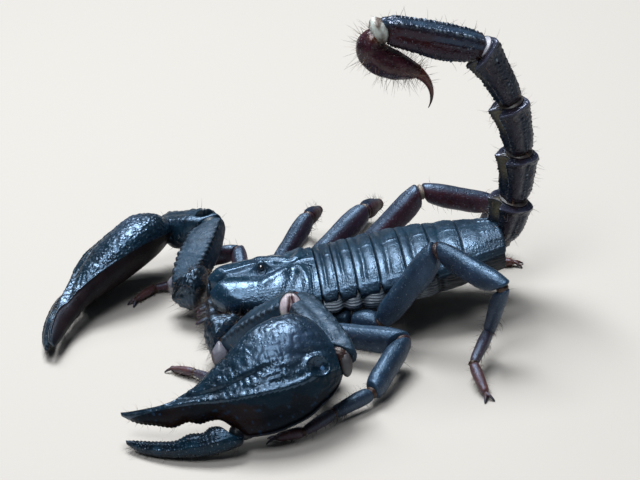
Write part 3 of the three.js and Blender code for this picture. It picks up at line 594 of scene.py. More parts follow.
def grow_bristles():
    """All the bristles as one mesh of curved, tapering spikes, each a small patch of the unwrap."""
    ring_points = len(SQUARE)
    spike = len(BRISTLE_RINGS) * ring_points
    patch_shape = np.array([[c, s] for _ in BRISTLE_RINGS
                            for c, s in ((0, 0), (1, 0), (1, 1), (0, 1))]) * 0.0015
    patch_shape += np.repeat([[0.0005 * k, 0] for k in range(len(BRISTLE_RINGS))], ring_points, axis=0)
    points, quads, colours, uvs, first = [], [], [], [], 0
    for roots, outward, lean, lengths, radius, tint, place, bend in HAIRS:
        count = len(roots)
        aside = np.cross(outward, rng.normal(size=(count, 3)))
        aside /= np.linalg.norm(aside, axis=1, keepdims=True)
        other = np.cross(outward, aside)
        droop = rng.normal(0, bend, (count, 3))
        rings = []
        for place_on, size in BRISTLE_RINGS:
            centre = roots + (outward * place_on + (lean + droop * 0.5) * place_on**2) * lengths[:, None]
            rings += [centre + (aside * c + other * s) * radius * size for c, s in SQUARE]
        index = np.arange(count)[:, None] * spike + first
        for ring in range(0, spike - ring_points, ring_points):
            for s in range(ring_points):
                a, b = ring + s, ring + (s + 1) % ring_points
                quads.append(index + [a, b, b + ring_points, a + ring_points])
        quads.append(index + np.arange(spike - ring_points, spike))
        points.append(np.stack(rings, 1).reshape(-1, 3))
        colours.append(np.broadcast_to(tint, (count * spike, 3)))
        uvs.append((place[:, None] + patch_shape).reshape(-1, 2))
        first += count * spike
    points, uvs = np.concatenate(points), np.concatenate(uvs)
    points[:, 2] = np.maximum(points[:, 2], 0.0)
    piece = make("bristles", points, np.concatenate(quads), [], HAIR, (), np.concatenate(colours))
    layer = piece.data.uv_layers.new(name="OFBake")
    corners = np.zeros(len(piece.data.loops), np.int32)
    piece.data.loops.foreach_get("vertex_index", corners)
    layer.data.foreach_set("uv", uvs[corners].ravel().astype(np.float32))


# ---- back plates ----


def edge_height(y):
    """The height of the back plates' side edges."""
    return 8.0 + 0.09 * y


def back_height(s, y):
    return edge_height(y) + np.interp(y, SEAMS, DOMES) * np.maximum(0, 1 - np.abs(s) ** 2.1) ** 0.62


def near_line(x, y, line, width):
    """1 on a line of points in plan, falling off to both sides of it."""
    nearest = np.full(np.shape(x), 1e9)
    for (ax, ay), (bx, by) in zip(line[:-1], line[1:]):
        along = np.clip(((x - ax) * (bx - ax) + (y - ay) * (by - ay)) / ((bx - ax) ** 2 + (by - ay) ** 2), 0, 1)
        nearest = np.minimum(nearest, np.hypot(x - ax - along * (bx - ax), y - ay - along * (by - ay)))
    return bell(nearest, 0, width)


# Ridges and furrows on each side of the carapace: height, the line in plan, and half width.
CARAPACE_LINES = [(0.26, [(2.6, -15.0), (3.3, -12.6), (3.9, -10.4)], 1.3),
                  (-0.10, [(5.4, -10.2), (3.6, -9.4), (2.6, -9.0)], 0.6),
                  (0.34, [(4.3, -8.6), (3.0, -6.6), (1.9, -4.8)], 0.8),
                  (-0.45, [(6.4, -5.4), (4.6, -4.4), (3.1, -3.9)], 0.75),
                  (0.30, [(1.4, -2.9), (3.2, -2.2), (5.8, -1.9), (7.2, -2.4)], 0.65),
                  (-0.28, [(0.12, -5.2), (0.16, -3.6), (0.63, -2.4), (2.04, -0.86)], 0.16),
                  (-0.16, [(2.0, -1.0), (4.2, -0.95), (7.6, -1.2)], 0.16)]
# The groove down its middle: half width and depth.
GROOVE_WIDTH = [(-16.5, 0.25), (-15.2, 0.45), (-13.6, 0.75), (-11.1, 1.35), (-8.5, 1.9), (-6.4, 1.3),
                (-5.0, 0.35), (-3.6, 0.12), (0, 0.1)]
GROOVE_DEPTH = [(-16.5, 0.5), (-15.0, 0.62), (-13.0, 0.55), (-10.5, 0.6), (-6.5, 0.5), (-4.6, 0.28), (0, 0.22)]
GRANULE_ZONE = [(6.3, -9.8), (6.0, -5.4), (4.8, -4.4)]
BEADED_EDGE = [(6.9, -9.6), (7.1, -7.2), (7.4, -5.0)]


def carapace():
    rows, columns = 220, 215
    t = np.linspace(0, 1, rows)[:, None]
    s = -np.cos(np.pi * np.linspace(0, 1, columns)[None, :]) * np.ones_like(t)
    t = t * np.ones_like(s)
    side = np.abs(s)
    front = -CARAPACE_LENGTH + 1.85 * bell(s, 0, 0.2) + 3.0 * side**4 - 0.15 * bell(side, 0.5, 0.25)
    y = front + (-GAP / 2 - front) * t
    x = s * (5.7 + 2.5 * t**0.8)
    away = np.abs(x)
    dome = (2.45 + 0.8 * t) * np.maximum(0, 1 - side**2.3) ** 0.56
    z = 7.9 + dome - 1.6 * (1 - 0.35 * side) * np.maximum(0, 1 - t / 0.16) ** 2.2
    wide, deep = (np.interp(y, *np.transpose(table)) for table in (GROOVE_WIDTH, GROOVE_DEPTH))
    sunk = 1 - smoothstep(away, wide - 0.35 * np.minimum(wide, 1), wide + 0.45)
    z -= deep * sunk
    for height, line, width in CARAPACE_LINES:
        z += height * near_line(away, y, line, width)
    hill = np.exp(-((away / 0.78) ** 2.4) - (np.abs(y + 8.5) / 1.45) ** 2.4)
    from_eye = np.hypot(away - EYE_ASIDE, y + 8.5)
    z += 1.62 * hill + 0.22 * bell(from_eye, 0.66, 0.13) + 0.14 * smoothstep(side, 0.955, 0.985) * (1 - t)
    top = np.stack([x, y, z], -1)
    rough = np.clip(0.9 * sunk * (1 - 0.8 * hill) * smoothstep(y, -15.5, -13)
                    + near_line(away, y, GRANULE_ZONE, 1.3)
                    + 0.8 * smoothstep(side, 0.72, 0.92) * smoothstep(t, 0.1, 0.3)
                    + 0.35 * smoothstep(t, 0.7, 0.9), 0, 1)
    top[..., 2] += 0.10 * rough * grains(top, 0.40, 5) + 0.03 * noise(top, 0.8, 3) + 0.03 * noise(top, 2.0, 4)
    top[..., 2] += 0.2 * near_line(away, y, BEADED_EDGE, 0.22) * np.abs(np.sin(4.2 * y))
    bottom = np.stack([x * 0.985, y + 0.05, np.full_like(s, 6.5)], -1)
    tint = blend(TEAL * 1.1, SLATE * 0.8, 0.7 * smoothstep(noise(top, 3.0, 8), -0.2, 0.8))
    tint = blend(tint, BLACK_BLUE * 0.4, 0.8 * bell(from_eye, 0.55, 0.3))
    slab("carapace_shield", top, bottom, SHELL, ["carapace"], tint, 0.68 - 0.4 * rough)


def tergite(number):
    last = number == 7
    front, rear = SEAMS[number - 1] + GAP / 2 - 0.12, SEAMS[number] - GAP / 2 + 0.10
    rows, columns = (96 if last else 54), 190
    u = np.linspace(0, 1, columns)[None, :]
    t = np.linspace(0, 1, rows)[:, None] * np.ones_like(u)
    s = -np.cos(np.pi * (0.012 + 0.976 * u)) * np.ones_like(t)
    side = np.abs(s)
    tuck = 0.3 * smoothstep(side, 0.9, 1.0) ** 2
    y = front + tuck + (rear - tuck * 1.2 - front - tuck) * t
    if last:
        relief = (-0.14 * (1 - smoothstep(t, 0.0, 0.04)) + 0.10 * bell(t, 0.3, 0.2)
                  - 0.2 * smoothstep(t, 0.95, 1.0))
        for keel in (0.3, 0.68):
            row = bell(side, keel, 0.035) * smoothstep(t, 0.42, 0.6)
            relief = relief + 0.2 * row * (0.4 + 0.6 * np.abs(np.sin(26 * t)))
    else:
        middle = 1 - smoothstep(side, 0.75, 0.95)
        place = t + 0.03 * noise_at(s * 4, 0, number, 1.0, 6)
        relief = (-0.14 * (1 - smoothstep(t, 0.0, 0.06)) + 0.05 * bell(place, 0.16, 0.09)
                  - 0.27 * bell(place, 0.40, 0.10) * middle * (0.75 + 0.35 * noise_at(s * 3, 0, number, 1.0, 2))
                  + 0.14 * bell(place, 0.74, 0.19) - 0.10 * smoothstep(t, 0.95, 1.0)
                  + 0.10 * bell(s, 0, 0.03) * bell(t, 0.7, 0.3))
    z = back_height(s, y) + relief + 0.2 * bell(side, 0.93, 0.03) * smoothstep(t, 0.15, 0.4)
    top = np.stack([s * np.interp(y, SEAMS, HALF_WIDTHS), y, z], -1)
    rough = np.clip(0.95 * smoothstep(side, 0.45, 0.9) + 0.55 * smoothstep(t, 0.55, 0.95)
                    + (0.9 * smoothstep(t, 0.35, 0.8) if last else 0), 0, 1) * smoothstep(t, 0.1, 0.25)
    top[..., 2] += 0.08 * rough * grains(top, 0.38, 20 + number) + 0.02 * noise(top, 0.7, number)
    bottom = np.stack([top[..., 0] * 0.99, y, back_height(s, y) - 0.75], -1)
    tint = blend(BLACK_BLUE * 1.8, TEAL * 1.2, 0.5 + 0.5 * noise(top, 2.5, 31))
    # Painted shade: each plate is darker at its front edge, where it tucks under the plate ahead.
    tint = blend(tint, BLACK_BLUE * 0.4, 0.8 * bell(t, 0.0, 0.03))
    tint = blend(tint, SLATE * 1.2, 0.5 * bell(side, 0.93, 0.03))
    gloss = 0.5 - 0.25 * rough + 0.12 * bell(t, 0.9, 0.1)
    if last:
        # Painted shade: the last plate's rear outer part is darkened and dulled.
        painted_shade = smoothstep(t, 0.3, 0.75) * smoothstep(side, 0.25, 0.6)
        tint, gloss = blend(tint, BLACK_BLUE * 0.4, 0.95 * painted_shade), gloss - 0.3 * painted_shade
    slab(f"tergite_plate_{number}", top, bottom, SHELL, [f"tergite_{number}"], tint, gloss)


BELLY_SEAMS = [5.8, 10.4, 15.4, 20.4, 25.0]
SPIRACLES = [8.4, 13.2, 18.2, 23.0]


def trunk():
    """The pleated flanks and the belly's plates, as one closed skin under the back plates."""
    rows, sides = 260, 230
    y = np.linspace(GAP / 2, SEAMS[-1] - GAP, rows)[:, None]
    half = np.interp(y, SEAMS, HALF_WIDTHS)
    tuck = 1 - smoothstep(y, 2, 9)
    edge, belly, floor = edge_height(y), 3.4 + 0.12 * y, 0.9 * tuck
    mix = lambda a, b, f: a + (b - a) * f
    # Half a section's corners, from the middle of the back to the middle of the belly.
    corners = [(s * half, back_height(s, y) - 1.1) for s in (0.0, 0.18, 0.5, 0.78, 0.94)]
    corners += [(half, edge - 1.35), (1.01 * half, mix(edge, belly, 0.45)),
                (mix(0.94, 0.74, tuck) * half, mix(edge, belly, 0.78)),
                (mix(0.74, 0.52, tuck) * half, belly + 0.25 + floor), (0.3 * half, belly + floor),
                (0.0 * half, belly + floor)]
    half_loop = np.stack([np.concatenate([c[k] for c in corners], 1) for k in (0, 1)], -1)
    loop = np.concatenate([half_loop, (half_loop * [-1, 1])[:, -2:0:-1]], 1)
    for _ in range(2):  # cuts the corners
        following = np.roll(loop, -1, axis=1)
        nearer = [0.75 * loop + 0.25 * following, 0.25 * loop + 0.75 * following]
        loop = np.stack(nearer, 2).reshape(rows, -1, 2)
    place = np.linspace(0, loop.shape[1], sides, endpoint=False)
    i = place.astype(int)
    section = mix(loop[:, i], loop[:, (i + 1) % loop.shape[1]], (place - i)[None, :, None])
    x, z = section[..., 0], section[..., 1]
    across = np.broadcast_to(y, x.shape)
    points = np.stack([x, across, z], -1)
    rise = (z - belly) / (edge - belly)
    flank = smoothstep(rise, 0.12, 0.3) * (1 - smoothstep(rise, 0.86, 1.0))
    nearest = np.min(np.abs(across[..., None] - (SEAMS[1:-1] + 0.6)), axis=-1)
    pinch = bell(nearest, 0, 0.42)
    bulge = flank * (0.38 * smoothstep(nearest, 0.0, 1.4) - 0.35 * pinch)
    pleat = flank * 0.035 * np.sin(13.0 * z + 3.0 * noise(points, 1.6, 4) + 1.5 * noise(points, 0.6, 5))
    points[..., 0] += np.sign(x) * (bulge + pleat)
    step = np.min(np.abs(across[..., None] - BELLY_SEAMS), axis=-1)
    under = 1 - smoothstep(rise, 0.1, 0.24)
    points[..., 2] += under * (0.28 * bell(step, 0, 0.25) + 0.05 * noise(points, 1.2, 9))
    spiracle = sum(bell(np.abs(x), 0.42 * half, 0.8) * bell(y, at, 0.22) for at in SPIRACLES)
    points[..., 2] += under * 0.22 * spiracle
    dark = np.array([0.004, 0.004, 0.005])
    # The pale flank is darker at the pinches between its bulges: painted shade in the creases.
    tint = blend(dark, [0.10, 0.125, 0.155], flank * (1 - 0.75 * pinch) * (1 - 0.95 * smoothstep(y, 13, 21)))
    tint = blend(tint, dark, np.clip(spiracle, 0, 1) * under)
    tubes("trunk_skin", [points], PLEURA, ["trunk"], [tint])
    return points


# ---- head ----


def eyes():
    median = [blob([side * 0.74, -8.5, 11.15], [[side * 0.5, 0, 1], [0, 1, 0], [1, 0, -side * 0.5]], [0.43] * 3,
                   30, 40) for side, _ in SIDES]
    tubes("median_eyes", median, LENS, ["median_eye_left", "median_eye_right"])
    lateral = [blob([side * out, y, z], [[side, 0, 0.7], [0, 1, 0], [-0.7 * side, 0, 1]], [0.3] * 3, 18, 24)
               for side, _ in SIDES
               for out, y, z in ((5.05, -13.9, 8.35), (5.4, -13.1, 8.45), (5.65, -12.4, 8.4))]
    tubes("lateral_eyes", lateral, LENS)


def chelicerae():
    amber, gold = np.array([0.010, 0.007, 0.006]), (0.022, 0.013, 0.009)
    for side, name in SIDES:
        start, direction = np.array([side * 1.5, -14.1, 5.2]), aim(side, -2, -9)
        palm = limb(start, direction, 3.9, 2.45, 1.85,
                    [(0, 0.9, 0.8), (0.4, 1.0, 0.95), (0.8, 0.98, 1.0), (1, 0.8, 0.8)], rows=60, sides=48,
                    rough=0.03, rough_size=0.6, seed=40, ends=(0.1, 0.25))
        fixed = limb(start + direction * 3.3 + [-side * 0.45, 0, -0.05], aim(side, -8, -20), 2.3, 1.0, 0.95,
                     [(0, 1, 1), (0.4, 0.75, 0.75), (0.8, 0.45, 0.5), (1, 0.25, 0.3)], rows=50, sides=28,
                     keels=[(180, 0.16, 30, 4, 0.2, 0.9)], bow=0.15, ends=(0.1, 0.05))
        moving = limb(start + direction * 3.2 + [side * 0.8, 0, -0.35], aim(side, 6, -16), 2.7, 0.95, 0.85,
                      [(0, 1, 1), (0.5, 0.8, 0.8), (0.85, 0.5, 0.5), (1, 0.22, 0.25)], rows=50, sides=28,
                      keels=[(180, 0.15, 30, 4, 0.2, 0.9)], bow=0.1, ends=(0.15, 0.05))
        tints = [blend(amber, BLACK_BLUE * 1.6, smoothstep(palm[1], 0.25, 0.0) * 0.8 + 0.35)]
        tints += [blend(amber * 0.9, MAROON * 0.5, smoothstep(g[1], 0.2, 0.8)) for g in (fixed, moving)]
        tubes(f"jaw_{name}", [palm[0], fixed[0], moving[0]], LIMB, [f"chelicera_{name}"], tints,
              [0.6] * 3)
        patch = side < 0
        bristles_on(palm, 130, (0.6, 1.8), 0.016, gold, patch, (0.45, 0.97), lean=0.9, bend=0.5)
        bristles_on(fixed, 60, (0.5, 1.3), 0.015, gold, 2 + patch, (0.05, 0.7), lean=0.8, bend=0.5)
        bristles_on(moving, 60, (0.5, 1.3), 0.015, gold, 4 + patch, (0.05, 0.7), lean=0.8, bend=0.5)


# ---- under the fore body ----


def leg_coxa_root(side, number):
    return np.array([side * 1.6, -7.5 + 1.5 * number, 3.6])


def pincer_coxa_root(side):
    return np.array([side * 2.9, -10.5, 4.5])


def hip_of(side, number):
    return np.array(HIPS[number]) * [side, 1, 1]


def fore_underside():
    y, phi = np.linspace(-13.6, -0.2, 70)[:, None], turns(72)
    half, floor = (np.interp(y, [-13.6, -8, -3.5, -0.2], ends)
                   for ends in ([3.6, 5.1, 6.0, 6.6], [4.4, 3.8, 3.7, 3.9]))
    across, high = squarish(phi, 3)
    plate = np.stack([half * across, y + 0 * phi, (6.15 + floor) / 2 + (6.15 - floor) / 2 * high], -1)
    plate[..., 2] += 0.05 * noise(plate, 1.0, 3)
    grids, tints = [plate], [BROWN * 0.35]
    for side, key in SIDES:
        for number in range(4):
            inner, hip = leg_coxa_root(side, number), hip_of(side, number)
            headings, pitches = LEG_POSES[key][number]
            grid = limb(inner, hip - inner, np.linalg.norm(hip - inner), 2.9, 2.5,
                        [(0, 0.6, 0.7), (0.3, 0.85, 0.9), (0.75, 1, 1), (1, 0.85, 0.9)],
                        after=aim(side, headings[0], pitches[0]), rows=60, sides=44,
                        keels=[(270, 0.12, 18, 0, 0.1, 0.9)], rough=0.04, ends=(0.12, 0.08), seed=number)
            grids.append(grid[0])
            tints.append(blend(BLACK_BLUE * 1.2, BROWN, smoothstep(-np.sin(grid[2]), 0.0, 0.9) * 0.6))
        root, inner = np.array(PINCERS[key]["root"]), pincer_coxa_root(side)
        grid = limb(inner, root - inner, np.linalg.norm(root - inner), 3.0, 2.9,
                    [(0, 0.8, 0.7), (0.6, 0.95, 0.95), (1, 0.95, 1)],
                    after=aim(side, *PINCERS[key]["coxa"][1:]), rows=50, sides=44, rough=0.06, ends=(0.1, 0.06),
                    seed=9)
        grids.append(grid[0])
        tints.append(BLACK_BLUE * 1.1)
        bristles_on(grid, 150, (0.6, 1.6), 0.02, (0.10, 0.05, 0.03), 6 + (side < 0), (0.3, 0.95), lean=0.5)
    tubes("breastplate_and_coxae", grids, LIMB, ["fore_underside"], tints)


def combs():
    teeth, tan = 12, np.array([0.26, 0.17, 0.10])
    for side, name in SIDES:
        turn = math.radians(20) * side
        spin = np.array([[math.cos(turn), math.sin(turn), 0], [-math.sin(turn), math.cos(turn), 0], [0, 0, 1]])
        grids = [limb([0, 0.45, 0.3], [side, -0.04, 0], 6.7, 0.9, 0.55,
                      [(0, 0.9, 0.9), (0.7, 0.9, 0.9), (1, 0.5, 0.6)], rows=40, sides=24,
                      keels=[(90, 0.05, 20, 9, 0.05, 0.95)])[0]]
        for tooth in range(teeth):
            grids.append(limb([side * (0.28 + tooth * 0.54), 0.3, 0.28], [side * 0.12, -1, 0], 0.98, 0.4, 0.4,
                              [(0, 0.8, 0.8), (0.6, 1, 1), (1, 0.7, 0.7)], rows=18, sides=14,
                              ends=(0.1, 0.3))[0])
        grids = [grid @ spin + [side * 0.9, 2.4, 2.3] for grid in grids]
        tubes(f"comb_{name}", grids, SOFT, [f"pecten_{name}"], [tan] * len(grids))


# ---- legs ----


def leg_chain(side, key, number):
    lengths, (headings, pitches) = LEG_SIZES[number][:6], LEG_POSES[key][number]
    joints, directions = [hip_of(side, number)], []
    for i, length in enumerate(lengths):
        pitch = pitches[i] if i < 5 else math.degrees(math.asin((FOOT_HEIGHT - joints[i][2]) / length))
        directions.append(aim(side, headings[i], pitch))
        joints.append(joints[i] + directions[i] * length)
    return joints, directions, lengths


def leg_tint(grid, side, warm):
    points, t, phi = grid[:3]
    up = np.sin(phi)
    # The near-side (left) legs get a lighter slate than the far-side legs: painted light on the near side,
    # painted shade on the far side.
    base = blend(SLATE * (1.25 if side > 0 else 0.8), BLACK_BLUE * 1.6, 0.35 + 0.35 * noise(points, 2.2, 5))
    base = blend(base, TEAL * 1.2, 0.5 * smoothstep(up, 0.3, 1.0))
    return blend(base, MAROON, warm * (1 - 0.8 * smoothstep(up, 0.45, 0.95)))


def foot_claw(foot, direction, turn):
    """One of a foot's two claws, with its tip on the floor."""
    level, angle = square_to(UP, direction), math.radians(28 * turn)
    level = np.array([level[0] * math.cos(angle) - level[1] * math.sin(angle),
                      level[0] * math.sin(angle) + level[1] * math.cos(angle), 0])
    s, phi = np.linspace(0, 1, 26)[:, None], turns(16)
    height = foot[2] + 0.12 * np.sin(np.pi * s) + (0.14 - foot[2]) * s**1.7
    radius = 0.3 * (1 - s) ** 0.5 * (1 - 0.25 * s) + 0.08
    grid = (foot * [1, 1, 0] + (1.95 * s - 0.35)[..., None] * level
            + (radius * np.cos(phi))[..., None] * np.cross(level, UP))
    grid[..., 2] = np.maximum(height + radius * np.sin(phi), 0.0)
    return grid


WARMTH = {"left": (0.1, 0.1, 0.1, 0.1), "right": (0.85, 0.6, 0.65, 0.97)}  # how red each leg is
SLIM_PATELLA = [(0, 0.72, 0.68), (0.14, 0.84, 0.84), (0.4, 0.84, 0.84), (0.75, 0.64, 0.6), (1, 0.5, 0.46)]
FULL_PATELLA = [(0, 0.74, 0.7), (0.14, 0.9, 0.9), (0.55, 1.0, 1.0), (0.85, 0.96, 0.94), (1, 0.72, 0.74)]


def leg(side, key, number):
    joints, directions, lengths = leg_chain(side, key, number)
    width, warm = LEG_SIZES[number][6], WARMTH[key][number]
    seen_end_on = side < 0 and number in (1, 2)
    code = number + (4 if side < 0 else 0)
    trochanter = limb(joints[0], directions[0], lengths[0] + 0.2, width, width,
                      [(0, 0.62, 0.62), (0.5, 0.86, 0.86), (1, 0.72, 0.72)],
                      before=joints[0] - leg_coxa_root(side, number), after=directions[1], rows=50, sides=44,
                      rough=0.05, ends=(0.1, 0.1), seed=code)
    femur = limb(joints[1] - directions[1] * 0.35, directions[1], lengths[1] + 0.35, 0.86 * width, 1.04 * width,
                 [(0, 0.66, 0.62), (0.12, 0.84, 0.84), (0.5, 0.97, 0.98), (0.86, 1.0, 1.0), (1, 0.8, 0.8)],
                 after=directions[2], power=2.5, rows=90, sides=54, ends=(0.05, 0.05), rough=0.03,
                 seed=code + 20, keels=[(angle, 0.1, 9, 26, 0.1, 0.92) for angle in (72, 108)]
                 + [(angle, 0.09, 9, 22, 0.1, 0.9) for angle in (250, 290)])
    taper = SLIM_PATELLA if seen_end_on else FULL_PATELLA
    patella = limb(joints[2], directions[2], lengths[2], 0.84 * width, width, taper, before=directions[1],
                   after=directions[3], power=2.25, rows=76, sides=50, ends=(0.06, 0.06), rough=0.03,
                   seed=code + 40,
                   keels=[(90, 0.06, 10, 0, 0.1, 0.9), (225, 0.07, 8, 18, 0.1, 0.9)])
    tibia = limb(joints[3], directions[3], lengths[3] + 0.2, 0.56 * width, 0.6 * width,
                 [(0, 0.86, 0.86), (0.15, 1.0, 1.0), (0.7, 0.92, 0.92), (1, 0.8, 0.8)], before=directions[2],
                 rows=56, sides=32, rough=0.03, ends=(0.08, 0.08), keels=[(270, 0.06, 12, 12, 0.1, 0.95)],
                 seed=code + 60)
    foot = [limb(joints[i] - directions[i] * 0.2, directions[i], lengths[i] + 0.3, size * width, size * width,
                 [(0, 0.86, 0.86), (0.2, 1.0, 1.0), (0.75, 0.9, 0.86), (1, 0.76, 0.7)], rows=48, sides=28,
                 rough=0.03, ends=(0.1, 0.12), keels=[(angle, 0.05, 10, 8, 0.15, 0.95) for angle in (300, 240)],
                 seed=code + 80 + i) for i, size in ((4, 0.47), (5, 0.42))]
    claws = [foot_claw(joints[6], directions[5], turn) for turn in (-1, 1)]
    prefix = f"leg_{number + 1}_{key}"
    tubes(f"{prefix}_femur_shell", [trochanter[0], femur[0]], LIMB, [f"{prefix}_femur"],
          [leg_tint(trochanter, side, warm * 0.5), leg_tint(femur, side, warm)])
    tubes(f"{prefix}_patella_shell", [patella[0]], FAR_LIMB if seen_end_on else LIMB,
          [f"{prefix}_patella"], [leg_tint(patella, side, warm)], [0.62])
    ruddy = ORANGE * 0.6 if (key, number) == ("right", 3) else np.array([0.085, 0.03, 0.02])
    tints = [blend(leg_tint(tibia, side, warm), BROWN * 0.9, 0.35 * tibia[1])]
    for k, g in enumerate(foot):
        red = blend(leg_tint(g, side, warm), MAROON * 0.8, 0.35 + 0.3 * k)
        tints.append(blend(red, ruddy, 0.45 * k + 0.3 * g[1]))
    tints += [blend(ruddy * 0.9, [0.01, 0.006, 0.005], 0.9 * np.linspace(0, 1, 26)[:, None] * np.ones(16))] * 2
    tubes(f"{prefix}_foot_shell", [tibia[0]] + [g[0] for g in foot] + claws, LIMB, [f"{prefix}_foot"],
          tints)
    knee = np.array([0.28, 0.24, 0.20] if warm > 0.9 else [0.032, 0.014, 0.016])
    sizes, thick = (0.72, 0.68, 0.50, 0.40, 0.36), (0.7, 0.62, 0.62, 0.4, 0.4)
    colours = (BROWN * 1.5, knee, BROWN * 2, PINK * 0.25, BROWN * 1.5)
    skins = [joint_skin(joints[k + 1], directions[k], directions[k + 1], size * width, size * width,
                        thick=thick[k]) for k, size in enumerate(sizes)]
    tubes(f"{prefix}_joint_skin", skins, SOFT, (),
          [blend(c, c * 0.45, 0.5 + 0.5 * noise(skin, 0.7, k))
           for k, (c, skin) in enumerate(zip(colours, skins))])
    patch, gold = 16 + code * 6, np.array([0.22, 0.13, 0.07]) * 0.35
    bristles_on(femur, 26, (0.6, 1.5), 0.025, SOOT, patch, (0.1, 0.95), angles=(200, 340), lean=0.3)
    bristles_on(patella, 26, (0.6, 1.5), 0.025, SOOT, patch + 1, (0.1, 0.95), lean=0.3)
    bristles_on(tibia, 60, (0.5, 1.3), 0.022, SOOT, patch + 2, (0.1, 1.0), lean=0.5)
    bristles_on(tibia, 8, (0.8, 1.2), 0.06, SOOT, patch + 3, (0.6, 0.95), angles=(200, 340), lean=0.9,
                bend=0.05)
    for k, g in enumerate(foot):
        bristles_on(g, 70, (0.35, 1.0), 0.022, gold, patch + 4 + k, (0.05, 0.97), lean=0.6)
        bristles_on(g, 12, (0.45, 0.7), 0.05, SOOT, patch + 4 + k, (0.15, 0.97), lean=0.8, bend=0.05,
                    angle_steps=(240, 300))


# ---- pincers ----

# A hand along its length: its inner and outer edges, half depth, the rise of its middle, the keel and the
# groove on its back, and the angle at which its inner side begins.
HAND_LENGTH = 32.4
HAND_INNER = [(0, 1.2), (0.7, 3.2), (1.5, 4.9), (3, 6.7), (4.8, 7.7), (7.1, 7.75), (9.5, 7.4), (12.3, 6.3),
              (15.2, 4.5), (18.2, 2.8), (20.7, 1.35), (23, 0.8), (26, 0.5), (29.1, 0.9), (32.4, 1.55)]
HAND_OUTER = [(0, -2.2), (0.7, -3.4), (1.7, -4.6), (3.8, -6.1), (6.3, -7.4), (8.8, -8.0), (11.3, -8.3),
              (13.6, -8.1), (15.6, -7.5), (17, -5.9), (18.3, -4.4), (20, -3.8), (21.5, -3.75), (23, -3.0),
              (25.4, -3.0), (27.8, -1.9), (30.6, -0.5), (32.4, 1.0)]
HAND_DEPTH = [(0, 1.7), (1.5, 2.6), (3.5, 3.3), (9, 3.9), (15, 3.2), (20, 2.2), (27, 1.55), (31, 0.95),
              (32.4, 0.5)]
HAND_ARCH = [(0, 0), (5, 1.2), (12, 2.1), (18, 2.1), (25, 1.3), (32.4, -0.4)]
HAND_KEEL = [(0, -1.5), (1.5, -1.9), (6.2, -3.1), (11.6, -3.0), (16.2, -2.4), (21.2, -1.1), (26.4, -0.1),
             (32.4, 0.6)]
HAND_GROOVE = [(6, 0.4), (10.4, 0.0), (13.4, -0.45), (16.5, -0.8), (19.6, -0.45), (25, 0.4), (32.4, 1.0)]
HAND_INSIDE = [(0, -35), (3, -35), (10, -20), (15, -8), (21, 20), (26, 48), (32.4, 60)]
# The movable finger, from its hinge, in the same way.
FINGER_AT, FINGER_LENGTH = 17.3, 15.4
FINGER_INNER = [(0, -6.1), (0.8, -5.2), (2, -4.9), (4.1, -5.3), (6, -4.85), (8.1, -5.1), (10.6, -4.4),
                (13, -3.5), (15.4, -2.5)]
FINGER_OUTER = [(0, -8.4), (1.4, -8.7), (3.9, -8.55), (6.4, -8.1), (9.2, -7.2), (11.6, -6.2), (13.9, -4.8),
                (15.4, -3.2)]
FINGER_DEPTH = [(0, 1.5), (2, 1.75), (6, 1.6), (10, 1.25), (14, 0.75), (15.4, 0.35)]
HAND_POWER = 2.15


def hand_frame(side, root, heading, pitch, roll):
    forward, outward = aim(side, heading, pitch), aim(side, heading + 90, 0)
    lift, r = square_to(forward, UP), math.radians(roll)
    inward = lift * math.sin(r) - outward * math.cos(r)
    return root, forward, inward, outward * math.sin(r) + lift * math.cos(r)


def placed(frame_of_hand, along, inward_by, up_by):
    root, forward, inward, dorsal = frame_of_hand
    return root + along[..., None] * forward + inward_by[..., None] * inward + up_by[..., None] * dorsal


